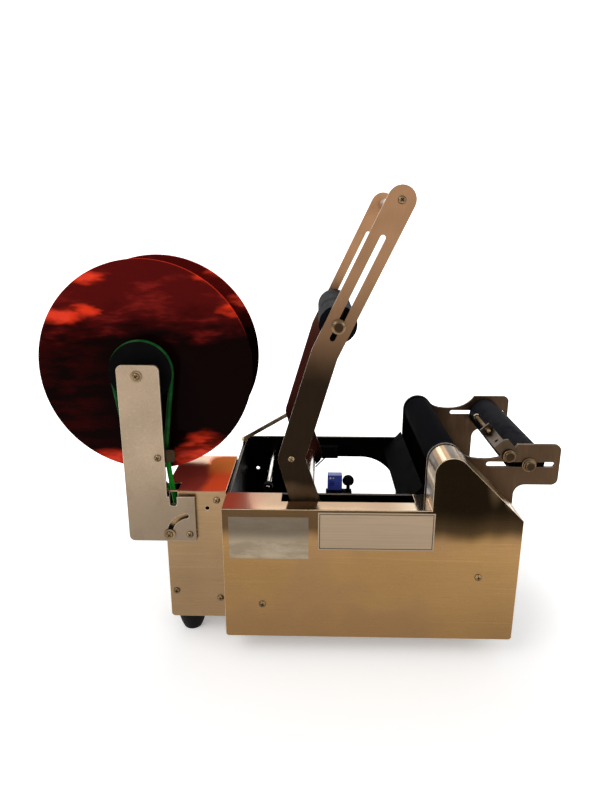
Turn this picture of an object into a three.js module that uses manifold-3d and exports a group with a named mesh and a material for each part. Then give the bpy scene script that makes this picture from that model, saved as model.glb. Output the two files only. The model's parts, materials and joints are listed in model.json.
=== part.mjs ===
// Bench-top bottle labeling machine: a steel box frame with a driven roller, a hinged press lever,
// an adjustable idler roller and a belt-driven reel for the label strip.
// Millimetres, +Z up. Until the last lines X is counted from the drive cover's left side, Y from its
// front and Z from the table; the finished group then moves so that the front left foot is the origin.
import * as THREE from 'three';
import { mergeVertices } from 'three/addons/utils/BufferGeometryUtils.js';
import Module from 'manifold-3d';

const wasm = await Module();
wasm.setup();

// Clearances and overruns that many pieces share
const seatGap = 0.3;
const shaftGap = 0.3;
const slideGap = 0.5;
const cutOverrun = 2;
const weldSink = 1;
const weldTolerance = 1e-4;
const fineSteps = 36;
const roundSteps = 20;
const smallSteps = 12;
const arcSteps = 6;
const hexSides = 6;

// Foot and floor
const foot = {
  x: -55, y: 66, rearX: 32, fromRight: 24, fromBack: 21, rightFrontY: 72, height: 30, topRadius: 19,
  bottomRadius: 12, rimHeight: 4, boltRadius: 3, boltLength: 8,
};
const frameBottom = foot.height;

// Drive cover, a folded and polished shell open at the back
const cover = {
  width: 352, depth: 46, sheet: 1.5, lift: 2, ledgeTop: 205, cornerRadius: 4,
  slotStart: 69, slotToDrive: 37, slotFront: 22, humpRadius: 20.5,
};
cover.bottom = frameBottom + cover.lift;

// Rollers: the drive roller keeps its distance from the cover's right side, and what belongs to it follows
const drive = {
  fromRight: 86, z: 250, radius: 20, sleeve: 4, shaftRadius: 6, endGap: 4, pulleyRadius: 12,
};
drive.x = cover.width - drive.fromRight;
cover.slotEnd = drive.x - cover.slotToDrive;
const idler = { pastCover: 15, underDrive: 4.7, radius: 22, axleRadius: 5, studRadius: 2.9, endGap: 3 };
idler.x = cover.width + idler.pastCover;
idler.z = drive.z - idler.underDrive;
const traction = { pastDrive: 18, z: 112, radius: 13, shaftRadius: 5, pulleyRadius: 10 };
traction.x = drive.x + traction.pastDrive;
const bearing = { radius: 15, width: 5 };

// Side plates and the plates that join them; the wing, its dip and its slot are counted from the drive roller
const plate = {
  thickness: 4, bayDepth: 205.7, cheekRadius: 21.5, wingRise: 21, wingDrop: 31, wingReach: 52,
  wingCorner: 8, wingFillet: 13, dipRun: 48, dipRise: 2, dipStartRun: 23, dipEndRun: 74, wingRun: 86,
  slotRun: 50, slotInset: 6, slotHeight: 6.5,
};
plate.nearOuterY = cover.depth + seatGap;
plate.nearInnerY = plate.nearOuterY + plate.thickness;
plate.farInnerY = plate.nearInnerY + plate.bayDepth;
plate.farOuterY = plate.farInnerY + plate.thickness;
plate.wingTop = drive.z + plate.wingRise;
plate.wingBottom = drive.z - plate.wingDrop;
plate.dipTop = drive.z + plate.dipRise;
plate.lowerEnd = cover.width;
plate.wingEnd = cover.width + plate.wingReach;
plate.dipX = drive.x + plate.dipRun;
plate.dipStart = drive.x + plate.dipStartRun;
plate.dipEnd = drive.x + plate.dipEndRun;
plate.wingStart = drive.x + plate.wingRun;
plate.slotStart = drive.x + plate.slotRun;
plate.slotEnd = plate.wingEnd - plate.slotInset;
const edgeMiddle = plate.thickness / 2;
foot.rightX = cover.width - foot.fromRight;
foot.rearY = plate.farInnerY - foot.fromBack;
const footPlaces = [
  [foot.x, foot.y], [foot.rearX, foot.rearY], [foot.rightX, foot.rightFrontY], [foot.rightX, foot.rearY],
];
const bayWindow = { start: 75, toDrive: 27, top: 170.7, bottom: 62, topShare: 0.354, bottomRadius: 12 };
bayWindow.end = drive.x - bayWindow.toDrive;
bayWindow.topRadius = (bayWindow.end - bayWindow.start) * bayWindow.topShare;
const sideHole = { x: 19, z: 150, radius: 3 };
const rightEnd = { top: 168, inset: 2 };

// Gear motor and toothed belt behind the cover
const motor = {
  toDrive: 16, z: 62, radius: 24, length: 86, gearboxLength: 30, gearboxHalf: 24, shaftRadius: 5,
  pulleyRadius: 10,
};
motor.x = drive.x - motor.toDrive;
const timing = { startY: 9, width: 12, thickness: 1.6, flange: 1.2, flangeWidth: 1 };

// Press lever: two boomerang arms on one shaft
const lever = {
  pivotX: 102, pivotZ: 186, elbowX: -21, elbowZ: 70, bendX: 17, bendZ: 197, tipX: 96.5, tipZ: 363,
  pivotRadius: 18, elbowRadius: 16, bendRadius: 15.5, tipRadius: 15.5, thickness: 4,
  nearY: 30, farInset: 32, slotWidth: 6.4, slotFromTip: 43, slotLength: 121, pressFromSlotEnd: 15,
  shaftRadius: 8, collarRadius: 13, collarWidth: 7,
};
lever.farY = plate.farInnerY - lever.farInset;
const press = { radius: 22, axleRadius: 5, studRadius: 2.9, endGap: 8 };
const handle = { radius: 6, spigotRadius: 3, screwRadius: 2.5 };
const capBolt = { washerRadius: 7.5, washerHeight: 1.5, headRadius: 6.2, headHeight: 6, nutHeight: 4 };
const stopRod = { radius: 3.2, footRadius: 5, footHeight: 4, lugRadius: 6, lugThickness: 3, reach: 16 };
const restPad = { length: 16, height: 2.6 };
const spring = { turns: 5, pitch: 3.6, wireRadius: 1.2, coilRadius: 11.5, startGap: 2, steps: 12, sides: 6 };

// Fasteners
const buttonScrew = { headRadius: 4.75, headHeight: 2.7, shankRadius: 2.5, boreClearance: 0.35, length: 9 };

// Control box on the left end
const box = {
  left: -77, front: 41, back: 160, top: 208, wall: 1.5, chamferX: 27, chamferY: 20, panel: 1.5,
  cornerRadius: 5,
};
const panelScrew = { leftX: -68.5, leftZ: 68, rightX: -12, lowZ: 58, topZ: 196.5 };
const panelScrewPlaces = [
  [panelScrew.leftX, panelScrew.leftZ], [panelScrew.rightX, panelScrew.lowZ],
  [panelScrew.rightX, panelScrew.topZ],
];
const panelHole = { x: -24, z: 185.5, radius: 2.6 };

// Reel bracket, its pivot and the belt that turns the reel
const bracket = {
  thickness: 4, left: -122, armWidth: 50, top: 368, bottom: 143, footRight: -38, footTop: 203,
  cornerRadius: 7, pivotX: -46, pivotZ: 152.6, slotRadius: 25, slotWidth: 6.6, slotSweep: 82,
  standOff: 2.4, notchX: -64.5, notchWidth: 9, notchDepth: 12,
};
bracket.backY = box.front - bracket.standOff;
bracket.frontY = bracket.backY - bracket.thickness;
const reel = {
  x: -98.5, z: 355, discRadius: 131, discThickness: 3, nearDiscY: 75, farDiscY: 160, hubRadius: 38,
  axleRadius: 6, axleEndY: 206, collarRadius: 11, collarWidth: 12,
};
const belt = {
  y: 57, radius: 2.6, reelRadius: 36, driveRadius: 15, lipHeight: 1.6, pulleyWidth: 13, crossOffset: 3.4,
  arcStep: 0.3, sides: 8,
};
// Where along a crossing run the belt stands aside, and by which share of the full offset
const crossingShares = [[0.1, 0.15], [0.2, 0.55], [0.32, 1], [0.5, 1], [0.68, 1], [0.8, 0.55], [0.9, 0.15]];
const guidePlate = { bottom: 247, height: 16, right: -60, thickness: 2, screwX: -80, screwUp: 7 };
guidePlate.top = guidePlate.bottom + guidePlate.height;
guidePlate.screwZ = guidePlate.bottom + guidePlate.screwUp;
const guidePin = { radius: 4.4, rightX: -68, rightUp: 10, leftX: -113, leftUp: 8 };
guidePin.rightZ = guidePlate.bottom + guidePin.rightUp;
guidePin.leftZ = guidePlate.bottom + guidePin.leftUp;
const reelMotor = { radius: 18, startY: 74, length: 52, shaftRadius: 4, mountThickness: 3 };
const beltOpening = { right: -60, bottom: 122, startY: 47, endY: 67 };

// Label path inside the bay
const guideRod = { x: 46, z: 183, radius: 3.4, freeEndY: 108, collarRadius: 6.5, collarWidth: 9 };
const peelPlate = { toDrive: 24, topZ: 214, run: 26, lowZ: 184, thickness: 2.5 };
peelPlate.topX = drive.x - peelPlate.toDrive;
peelPlate.lowX = peelPlate.topX - peelPlate.run;
const sensor = {
  y: 100, width: 19, depth: 12, bottom: 187, height: 21, beforeRail: 5.5,
  blockWidth: 34, blockDepth: 18, blockBottom: 155, blockTop: 183,
};
// The sensor's block leaves this share of its free run between lever shaft and peel plate on its left
const sensorRail = { placeShare: 7 / 36, z: 165, radius: 5, length: 78 };
const blockRunStart = lever.pivotX + lever.shaftRadius;
const blockSlack = peelPlate.lowX - blockRunStart - sensor.blockWidth;
sensorRail.x = blockRunStart + blockSlack * sensorRail.placeShare + sensor.blockWidth / 2;
sensor.x = sensorRail.x - sensor.beforeRail;
const knob = { pastRail: 12.2, radius: 7.6, z: 198.5, stemRadius: 2.4 };
knob.x = sensorRail.x + knob.pastRail;
const microswitch = {
  x: 131, z: 182, width: 28, height: 19, depth: 13, leverLength: 24, leverThickness: 1.2, rollerRadius: 3.5,
  rollerWidth: 7,
};

// Bottle stop on the near wing
const bottleStop = {
  boltRun: 75, boltRise: 8, tabRadius: 9, tabWide: 12, lift: 16.5, stripWidth: 14, stripThickness: 3,
  stripLength: 46, flangeHeight: 11, tilt: 42, holeRadius: 2.6, screwRadius: 2.6, screwLength: 60,
  screwInside: 10,
  screwHeadRadius: 4, screwHeadHeight: 4, nutHeight: 4, screwShare: 0.55, holeShare: 0.25,
};
bottleStop.boltX = drive.x + bottleStop.boltRun;
bottleStop.boltZ = drive.z + bottleStop.boltRise;

// Controls and inlet on the box's left wall
const rocker = { y: 128, z: 178, length: 19, width: 12, bezel: 2.5, depth: 12, tilt: 9 };
const speedKnob = { y: 100, z: 178, radius: 11, height: 13, shaftRadius: 3, washerHeight: 1.2 };
const inlet = {
  y: 120, z: 82, width: 28, height: 22, depth: 22, rim: 3, rimThickness: 2.4, pinWidth: 2, pinHeight: 5,
  pinSpacing: 7,
};

// Where the cover and the frame are screwed
const coverScrew = { leftX: 46, lowZ: 78, fromRight: 47, highZ: 118.6 };
const coverScrews = [
  [coverScrew.leftX, coverScrew.lowZ], [cover.width - coverScrew.fromRight, coverScrew.highZ],
];
const standoff = { radius: 6, boreDepth: 10 };
const frameScrew = { lowZ: 60, highZ: 190, leftX: 60, fromRight: 62, endZ: 150 };
const frameScrewPlaces = [
  [edgeMiddle, frameScrew.lowZ], [edgeMiddle, frameScrew.highZ],
  [frameScrew.leftX, frameBottom + edgeMiddle],
  [cover.width - frameScrew.fromRight, frameBottom + edgeMiddle],
  [plate.lowerEnd - rightEnd.inset - edgeMiddle, frameScrew.endZ],
];

const paint = {
  stainless: ['#a88a62', 0.32, 0.9],
  darkStainless: ['#6b543b', 0.38, 0.9],
  bracketSteel: ['#9d9080', 0.5, 0.7],
  screwSteel: ['#b9a88c', 0.3, 0.9],
  rubber: ['#15141a', 0.75, 0],
  blackPlastic: ['#141414', 0.5, 0],
  blackSteel: ['#262220', 0.5, 0.6],
  acrylic: ['#6b0c0c', 0.15, 0],
  beltGreen: ['#0f7a1c', 0.5, 0],
  sensorBlue: ['#2c3f94', 0.45, 0],
};

const machine = new THREE.Group();

function material(name) {
  const [color, roughness, metalness] = paint[name];
  return new THREE.MeshStandardMaterial({ color, roughness, metalness });
}

// Solids: closed geometries joined and cut
function toSolid(geometry) {
  const plain = geometry.index ? geometry.toNonIndexed() : geometry.clone();
  plain.deleteAttribute('normal');
  plain.deleteAttribute('uv');
  const merged = mergeVertices(plain, weldTolerance);
  const mesh = new wasm.Mesh({
    numProp: 3,
    vertProperties: new Float32Array(merged.attributes.position.array),
    triVerts: new Uint32Array(merged.index.array),
  });
  return new wasm.Manifold(mesh);
}

function toGeometry(solid) {
  const mesh = solid.getMesh();
  const geometry = new THREE.BufferGeometry();
  geometry.setAttribute('position', new THREE.BufferAttribute(new Float32Array(mesh.vertProperties), 3));
  geometry.setIndex(new THREE.BufferAttribute(new Uint32Array(mesh.triVerts), 1));
  return geometry;
}

function joined(solids) {
  return solids.reduce((sum, solid) => sum.add(solid));
}

function cut(solid, cutters) {
  return cutters.reduce((rest, cutter) => rest.subtract(cutter), solid);
}

function add(name, solid, finish) {
  const mesh = new THREE.Mesh(toGeometry(solid), material(finish));
  mesh.name = name;
  machine.add(mesh);
}

function block(x0, x1, y0, y1, z0, z1) {
  const geometry = new THREE.BoxGeometry(x1 - x0, y1 - y0, z1 - z0);
  geometry.translate((x0 + x1) / 2, (y0 + y1) / 2, (z0 + z1) / 2);
  return toSolid(geometry);
}

function rodY(x, z, radius, y0, y1, steps = roundSteps) {
  const geometry = new THREE.CylinderGeometry(radius, radius, y1 - y0, steps);
  geometry.translate(x, (y0 + y1) / 2, z);
  return toSolid(geometry);
}

function rodX(y, z, radius, x0, x1, steps = roundSteps) {
  const geometry = new THREE.CylinderGeometry(radius, radius, x1 - x0, steps);
  geometry.rotateZ(Math.PI / 2);
  geometry.translate((x0 + x1) / 2, y, z);
  return toSolid(geometry);
}

function rodZ(x, y, radius, z0, z1, steps = roundSteps) {
  const geometry = new THREE.CylinderGeometry(radius, radius, z1 - z0, steps);
  geometry.rotateX(Math.PI / 2);
  geometry.translate(x, y, (z0 + z1) / 2);
  return toSolid(geometry);
}

function rodBetween(start, end, radius, steps = smallSteps) {
  const along = new THREE.Vector3().subVectors(end, start);
  const geometry = new THREE.CylinderGeometry(radius, radius, along.length(), steps);
  const up = new THREE.Vector3(0, 1, 0);
  geometry.applyQuaternion(new THREE.Quaternion().setFromUnitVectors(up, along.clone().normalize()));
  const middle = new THREE.Vector3().addVectors(start, end).multiplyScalar(1 / 2);
  geometry.translate(middle.x, middle.y, middle.z);
  return toSolid(geometry);
}

// An outline drawn in the front view (X to the right, Z up), as thick as y0 to y1
function slab(shape, y0, y1, curveSegments = arcSteps) {
  const geometry = new THREE.ExtrudeGeometry(shape, { depth: y1 - y0, bevelEnabled: false, curveSegments });
  geometry.rotateX(Math.PI / 2);
  geometry.translate(0, y1, 0);
  return toSolid(geometry);
}

// A closed outline through corner points, each with its own fillet radius
function filleted(corners) {
  const shape = new THREE.Shape();
  const count = corners.length;
  corners.forEach((corner, index) => {
    const here = new THREE.Vector2(corner[0], corner[1]);
    const before = new THREE.Vector2(...corners[(index + count - 1) % count].slice(0, 2));
    const after = new THREE.Vector2(...corners[(index + 1) % count].slice(0, 2));
    const inward = before.clone().sub(here).normalize();
    const outward = after.clone().sub(here).normalize();
    const radius = corner[2] ?? 0;
    const halfAngle = Math.acos(THREE.MathUtils.clamp(inward.dot(outward), -1, 1)) / 2;
    const reach = radius / Math.tan(halfAngle);
    const start = here.clone().addScaledVector(inward, reach);
    const end = here.clone().addScaledVector(outward, reach);
    if (index === 0) shape.moveTo(start.x, start.y);
    else shape.lineTo(start.x, start.y);
    if (radius > 0) {
      const bisector = inward.clone().add(outward).normalize();
      const centre = here.clone().addScaledVector(bisector, radius / Math.sin(halfAngle));
      const from = Math.atan2(start.y - centre.y, start.x - centre.x);
      const to = Math.atan2(end.y - centre.y, end.x - centre.x);
      const clockwise = inward.x * outward.y - inward.y * outward.x > 0;
      shape.absarc(centre.x, centre.y, radius, from, to, clockwise);
    }
  });
  shape.closePath();
  return shape;
}

function rectangle(x0, x1, z0, z1, radius = 0) {
  return filleted([[x0, z0, radius], [x1, z0, radius], [x1, z1, radius], [x0, z1, radius]]);
}

// A slot with round ends between two points of the front view
function limb(x0, z0, radius0, x1, z1, radius1) {
  const along = Math.atan2(z1 - z0, x1 - x0);
  const distance = Math.hypot(x1 - x0, z1 - z0);
  const lean = Math.acos((radius0 - radius1) / distance);
  const shape = new THREE.Shape();
  shape.absarc(x1, z1, radius1, along - lean, along + lean, false);
  shape.absarc(x0, z0, radius0, along + lean, along - lean + 2 * Math.PI, false);
  shape.closePath();
  return shape;
}

// A turned piece along +Y from a half profile of radius and distance
function turnedY(profile, x, y, z, steps = roundSteps) {
  const points = profile.map(([radius, distance]) => new THREE.Vector2(radius, distance));
  const geometry = new THREE.LatheGeometry(points, steps);
  geometry.translate(x, y, z);
  return toSolid(geometry);
}

// A button-head screw along Y: its head faces the front when facing is -1, and the back when it is 1
function buttonScrewY(x, z, faceY, facing, length = buttonScrew.length) {
  const { headRadius, headHeight, shankRadius } = buttonScrew;
  const crownShares = [[1, 0], [0.96, 0.45], [0.78, 0.82], [0.42, 1]];
  const profile = [[0, -length], [shankRadius, -length], [shankRadius, 0]];
  crownShares.forEach(([width, height]) => profile.push([headRadius * width, headHeight * height]));
  profile.push([0, headHeight]);
  const points = profile.map(([radius, distance]) => new THREE.Vector2(radius, distance));
  const geometry = new THREE.LatheGeometry(points, smallSteps);
  if (facing < 0) geometry.rotateX(Math.PI);
  geometry.translate(x, faceY + facing * seatGap, z);
  return toSolid(geometry);
}

// What drills a hole along Y right through what lies between y0 and y1
function boreY(x, z, radius, y0, y1, steps = roundSteps) {
  return rodY(x, z, radius, y0 - cutOverrun, y1 + cutOverrun, steps);
}

function screwHole(x, z, y0, y1) {
  return boreY(x, z, buttonScrew.shankRadius + buttonScrew.boreClearance, y0, y1, smallSteps);
}

function ringY(x, z, radius, boreRadius, y0, y1, steps = roundSteps, boreSteps = roundSteps) {
  return rodY(x, z, radius, y0, y1, steps).subtract(boreY(x, z, boreRadius, y0, y1, boreSteps));
}

// A closed tube of round section through a ring of points
function closedTube(points, radius, sides) {
  const positions = [];
  const faces = [];
  const count = points.length;
  const sideways = new THREE.Vector3(0, 1, 0);
  points.forEach((point, index) => {
    const before = points[(index + count - 1) % count];
    const after = points[(index + 1) % count];
    const tangent = new THREE.Vector3().subVectors(after, before).normalize();
    const across = new THREE.Vector3().crossVectors(tangent, sideways).normalize();
    const second = new THREE.Vector3().crossVectors(across, tangent).normalize();
    for (let side = 0; side < sides; side += 1) {
      const angle = (2 * Math.PI * side) / sides;
      const place = point.clone();
      place.addScaledVector(across, radius * Math.cos(angle));
      place.addScaledVector(second, radius * Math.sin(angle));
      positions.push(place.x, place.y, place.z);
      const nextRing = ((index + 1) % count) * sides;
      const nextSide = (side + 1) % sides;
      faces.push(index * sides + side, nextRing + side, index * sides + nextSide);
      faces.push(index * sides + nextSide, nextRing + side, nextRing + nextSide);
    }
  });
  const geometry = new THREE.BufferGeometry();
  geometry.setAttribute('position', new THREE.Float32BufferAttribute(positions, 3));
  geometry.setIndex(faces);
  return toSolid(geometry);
}

// Outline of both side plates: cheek round the drive roller, dip, then the slotted wing
function sidePlateOutline() {
  const shape = new THREE.Shape();
  const cheekLeft = drive.x - plate.cheekRadius;
  const dipAngle = Math.atan2(plate.dipTop + plate.wingFillet - drive.z, plate.dipStart - drive.x);
  const leave = Math.max(dipAngle, Math.PI / 8);
  shape.moveTo(0, frameBottom);
  shape.lineTo(plate.lowerEnd, frameBottom);
  const filletZ = plate.wingBottom - plate.wingFillet;
  shape.lineTo(plate.lowerEnd, filletZ);
  shape.absarc(plate.lowerEnd + plate.wingFillet, filletZ, plate.wingFillet, Math.PI, Math.PI / 2, true);
  const right = plate.wingEnd;
  const corner = plate.wingCorner;
  shape.lineTo(right - corner, plate.wingBottom);
  shape.absarc(right - corner, plate.wingBottom + corner, corner, -Math.PI / 2, 0, false);
  shape.lineTo(right, plate.wingTop - corner);
  shape.absarc(right - corner, plate.wingTop - corner, corner, 0, Math.PI / 2, false);
  shape.lineTo(plate.wingStart, plate.wingTop);
  shape.quadraticCurveTo(plate.dipEnd, plate.dipTop, plate.dipX, plate.dipTop);
  const leaveX = drive.x + plate.cheekRadius * Math.cos(leave);
  const leaveZ = drive.z + plate.cheekRadius * Math.sin(leave);
  shape.quadraticCurveTo(plate.dipStart, plate.dipTop, leaveX, leaveZ);
  shape.absarc(drive.x, drive.z, plate.cheekRadius, leave, Math.PI, false);
  shape.lineTo(cheekLeft, cover.ledgeTop - cover.sheet - seatGap);
  shape.lineTo(0, cover.ledgeTop - cover.sheet - seatGap);
  shape.closePath();
  return shape;
}

// Outline of the drive cover, drawn in by an inset for its hollow
function coverOutline(inset) {
  const shape = new THREE.Shape();
  const radius = Math.max(cover.cornerRadius - inset, seatGap);
  const left = inset;
  const right = cover.width - inset;
  const low = cover.bottom + inset;
  const ledge = cover.ledgeTop - inset;
  const hump = cover.humpRadius - inset;
  const slope = Math.PI / 4;
  shape.moveTo(left + radius, low);
  shape.lineTo(right - radius, low);
  shape.absarc(right - radius, low + radius, radius, -Math.PI / 2, 0, false);
  const tangentX = drive.x + hump * Math.cos(slope);
  const tangentZ = drive.z + hump * Math.sin(slope);
  shape.lineTo(right, tangentZ - (right - tangentX) * Math.tan(slope));
  shape.lineTo(tangentX, tangentZ);
  shape.absarc(drive.x, drive.z, hump, slope, Math.PI, false);
  shape.lineTo(drive.x - hump, ledge);
  shape.lineTo(left, ledge);
  shape.lineTo(left, low + radius);
  shape.absarc(left + radius, low + radius, radius, Math.PI, Math.PI * 3 / 2, false);
  shape.closePath();
  return shape;
}

function makeCover() {
  const hollow = slab(coverOutline(cover.sheet), cover.sheet, cover.depth + cutOverrun, arcSteps * 2);
  const slot = block(
    cover.slotStart, cover.slotEnd, cover.slotFront, cover.depth + cutOverrun,
    cover.ledgeTop - cover.sheet - cutOverrun, cover.ledgeTop + cutOverrun,
  );
  const holes = coverScrews.map(([x, z]) => screwHole(x, z, 0, cover.sheet));
  const shell = cut(slab(coverOutline(0), 0, cover.depth, arcSteps * 2), [hollow, slot, ...holes]);
  add('drive_cover', shell, 'stainless');
}

function wingSlot(y0, y1) {
  const half = plate.slotHeight / 2;
  const shape = limb(plate.slotStart + half, idler.z, half, plate.slotEnd - half, idler.z, half);
  return slab(shape, y0 - cutOverrun, y1 + cutOverrun);
}

// The holes that both side plates share
function plateHoles(y0, y1) {
  return [
    boreY(lever.pivotX, lever.pivotZ, lever.shaftRadius + shaftGap, y0, y1),
    boreY(drive.x, drive.z, drive.shaftRadius + shaftGap, y0, y1),
    boreY(traction.x, traction.z, traction.shaftRadius + shaftGap, y0, y1),
    wingSlot(y0, y1),
  ];
}

function makeFrame() {
  const near = plate.nearOuterY;
  const nearInner = plate.nearInnerY;
  const far = plate.farInnerY;
  const farOuter = plate.farOuterY;
  const nearBoss = rodY(drive.x, drive.z, bearing.radius, near - bearing.width, near + edgeMiddle);
  const nearCuts = [
    ...plateHoles(near - bearing.width, nearInner),
    boreY(motor.x, motor.z, motor.shaftRadius + shaftGap, near, nearInner),
    screwHole(bottleStop.boltX, bottleStop.boltZ, near, nearInner),
  ];
  const posts = coverScrews.map(([x, z]) => {
    const post = rodY(x, z, standoff.radius, cover.sheet + seatGap, near + edgeMiddle, hexSides);
    return post.subtract(screwHole(x, z, cover.sheet, cover.sheet + standoff.boreDepth));
  });
  const nearSheet = cut(slab(sidePlateOutline(), near, nearInner).add(nearBoss), nearCuts);
  add('near_side_plate', joined([nearSheet, ...posts]), 'darkStainless');

  const { start, end, bottom, top, bottomRadius, topRadius } = bayWindow;
  const bay = filleted([
    [start, bottom, bottomRadius], [end, bottom, bottomRadius], [end, top, topRadius],
    [start, top, topRadius],
  ]);
  const farBoss = rodY(drive.x, drive.z, bearing.radius, far + edgeMiddle, farOuter + bearing.width);
  const farCuts = [
    ...plateHoles(far, farOuter + bearing.width),
    boreY(sideHole.x, sideHole.z, sideHole.radius, far, farOuter, smallSteps),
    slab(bay, far - cutOverrun, farOuter + cutOverrun, smallSteps),
    ...frameScrewPlaces.map(([x, z]) => screwHole(x, z, far, farOuter)),
  ];
  add('far_side_plate', cut(slab(sidePlateOutline(), far, farOuter).add(farBoss), farCuts), 'darkStainless');

  const y0 = plate.nearInnerY + seatGap;
  const y1 = far - seatGap;
  const endTop = cover.ledgeTop - cover.sheet - seatGap;
  const reachIn = buttonScrew.length + seatGap;
  const bores = frameScrewPlaces.map(([x, z]) => screwHole(x, z, y1 - reachIn, y1));
  const leftPlate = block(0, plate.thickness, y0, y1, frameBottom, endTop);
  add('left_end_plate', cut(leftPlate, bores), 'darkStainless');
  const baseRight = plate.lowerEnd - rightEnd.inset;
  const baseTop = frameBottom + plate.thickness;
  const footHoles = footPlaces.slice(1).map(([x, y]) => (
    rodZ(x, y, foot.boltRadius + shaftGap, frameBottom - cutOverrun, baseTop + cutOverrun, smallSteps)
  ));
  const base = block(plate.thickness + seatGap, baseRight, y0, y1, frameBottom, baseTop);
  const upturned = block(baseRight - plate.thickness, baseRight, y0, y1, frameBottom, rightEnd.top);
  add('base_plate', cut(base.add(upturned), [...bores, ...footHoles]), 'darkStainless');
}

function makeFeet() {
  footPlaces.forEach(([x, y], index) => {
    const points = [
      [0, 0], [foot.bottomRadius, 0], [foot.topRadius - foot.rimHeight / 2, foot.height / 2],
      [foot.topRadius, foot.height - foot.rimHeight], [foot.topRadius, foot.height - seatGap],
      [foot.boltRadius, foot.height - seatGap], [foot.boltRadius, foot.height + foot.boltLength],
      [0, foot.height + foot.boltLength],
    ].map(([radius, height]) => new THREE.Vector2(radius, height));
    const geometry = new THREE.LatheGeometry(points, smallSteps + arcSteps);
    geometry.rotateX(Math.PI / 2);
    geometry.translate(x, y, 0);
    add(`foot_${index + 1}`, toSolid(geometry), 'rubber');
  });
}

function makeControlBox() {
  const right = -seatGap;
  const bottom = frameBottom;
  const shellFront = box.front + box.panel + seatGap;
  const outline = (inset, front) => {
    const shape = new THREE.Shape();
    shape.moveTo(right + (inset > 0 ? cutOverrun : 0), front);
    shape.lineTo(right + (inset > 0 ? cutOverrun : 0), box.back - inset);
    shape.lineTo(box.left + box.chamferX, box.back - inset);
    shape.lineTo(box.left + inset, box.back - box.chamferY);
    shape.lineTo(box.left + inset, front);
    shape.closePath();
    return shape;
  };
  const upright = (shape, z0, z1) => {
    const geometry = new THREE.ExtrudeGeometry(shape, { depth: z1 - z0, bevelEnabled: false });
    geometry.translate(0, 0, z0);
    return toSolid(geometry);
  };
  const outer = upright(outline(0, shellFront), bottom, box.top);
  const wall = box.wall;
  const inner = upright(outline(wall, shellFront - cutOverrun), bottom + wall, box.top - wall);
  const [footX, footY] = footPlaces[0];
  const footBore = foot.boltRadius + shaftGap;
  const footHole = rodZ(footX, footY, footBore, bottom - cutOverrun, bottom + wall + cutOverrun);
  const { endY, startY } = beltOpening;
  const opening = block(
    box.left - cutOverrun, beltOpening.right, startY, endY, beltOpening.bottom, box.top + cutOverrun,
  );
  const wallHole = (y, z, width, height) => block(
    box.left - cutOverrun, box.left + wall + cutOverrun,
    y - width / 2 - slideGap, y + width / 2 + slideGap, z - height / 2 - slideGap, z + height / 2 + slideGap,
  );
  const rockerHole = wallHole(rocker.y, rocker.z, rocker.width, rocker.length);
  const inletHole = wallHole(inlet.y, inlet.z, inlet.width, inlet.height);
  const knobBore = speedKnob.shaftRadius + shaftGap;
  const wallEnd = box.left + wall + cutOverrun;
  const knobHole = rodX(speedKnob.y, speedKnob.z, knobBore, box.left - cutOverrun, wallEnd);
  add('control_box', cut(outer, [inner, opening, rockerHole, knobHole, inletHole, footHole]), 'stainless');

  const panel = slab(
    filleted([[box.left, bottom, box.cornerRadius], [right, bottom], [right, box.top], [box.left, box.top]]),
    box.front, box.front + box.panel,
  );
  const panelBack = box.front + box.panel;
  const notchBottom = bracket.footTop - bracket.notchDepth;
  const holes = [
    ...panelScrewPlaces.map(([x, z]) => screwHole(x, z, box.front, panelBack)),
    boreY(panelHole.x, panelHole.z, panelHole.radius, box.front, panelBack, smallSteps),
    screwHole(bracket.pivotX, bracket.pivotZ, box.front, panelBack),
    screwHole(bracket.pivotX - bracket.slotRadius, bracket.pivotZ, box.front, panelBack),
    block(
      box.left - cutOverrun, bracket.notchX + bracket.notchWidth / 2, box.front - cutOverrun,
      panelBack + cutOverrun, notchBottom, box.top + cutOverrun,
    ),
  ];
  add('box_front_panel', cut(panel, holes), 'stainless');
}

// A flanged pulley for the toothed belt, as the first points of a turned profile
function pulleyProfile(radius) {
  const end = timing.startY + timing.width;
  const rim = radius + timing.flange;
  return [
    [0, timing.startY], [rim, timing.startY], [rim, timing.startY + timing.flangeWidth],
    [radius, timing.startY + timing.flangeWidth], [radius, end - timing.flangeWidth],
    [rim, end - timing.flangeWidth], [rim, end],
  ];
}

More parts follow.
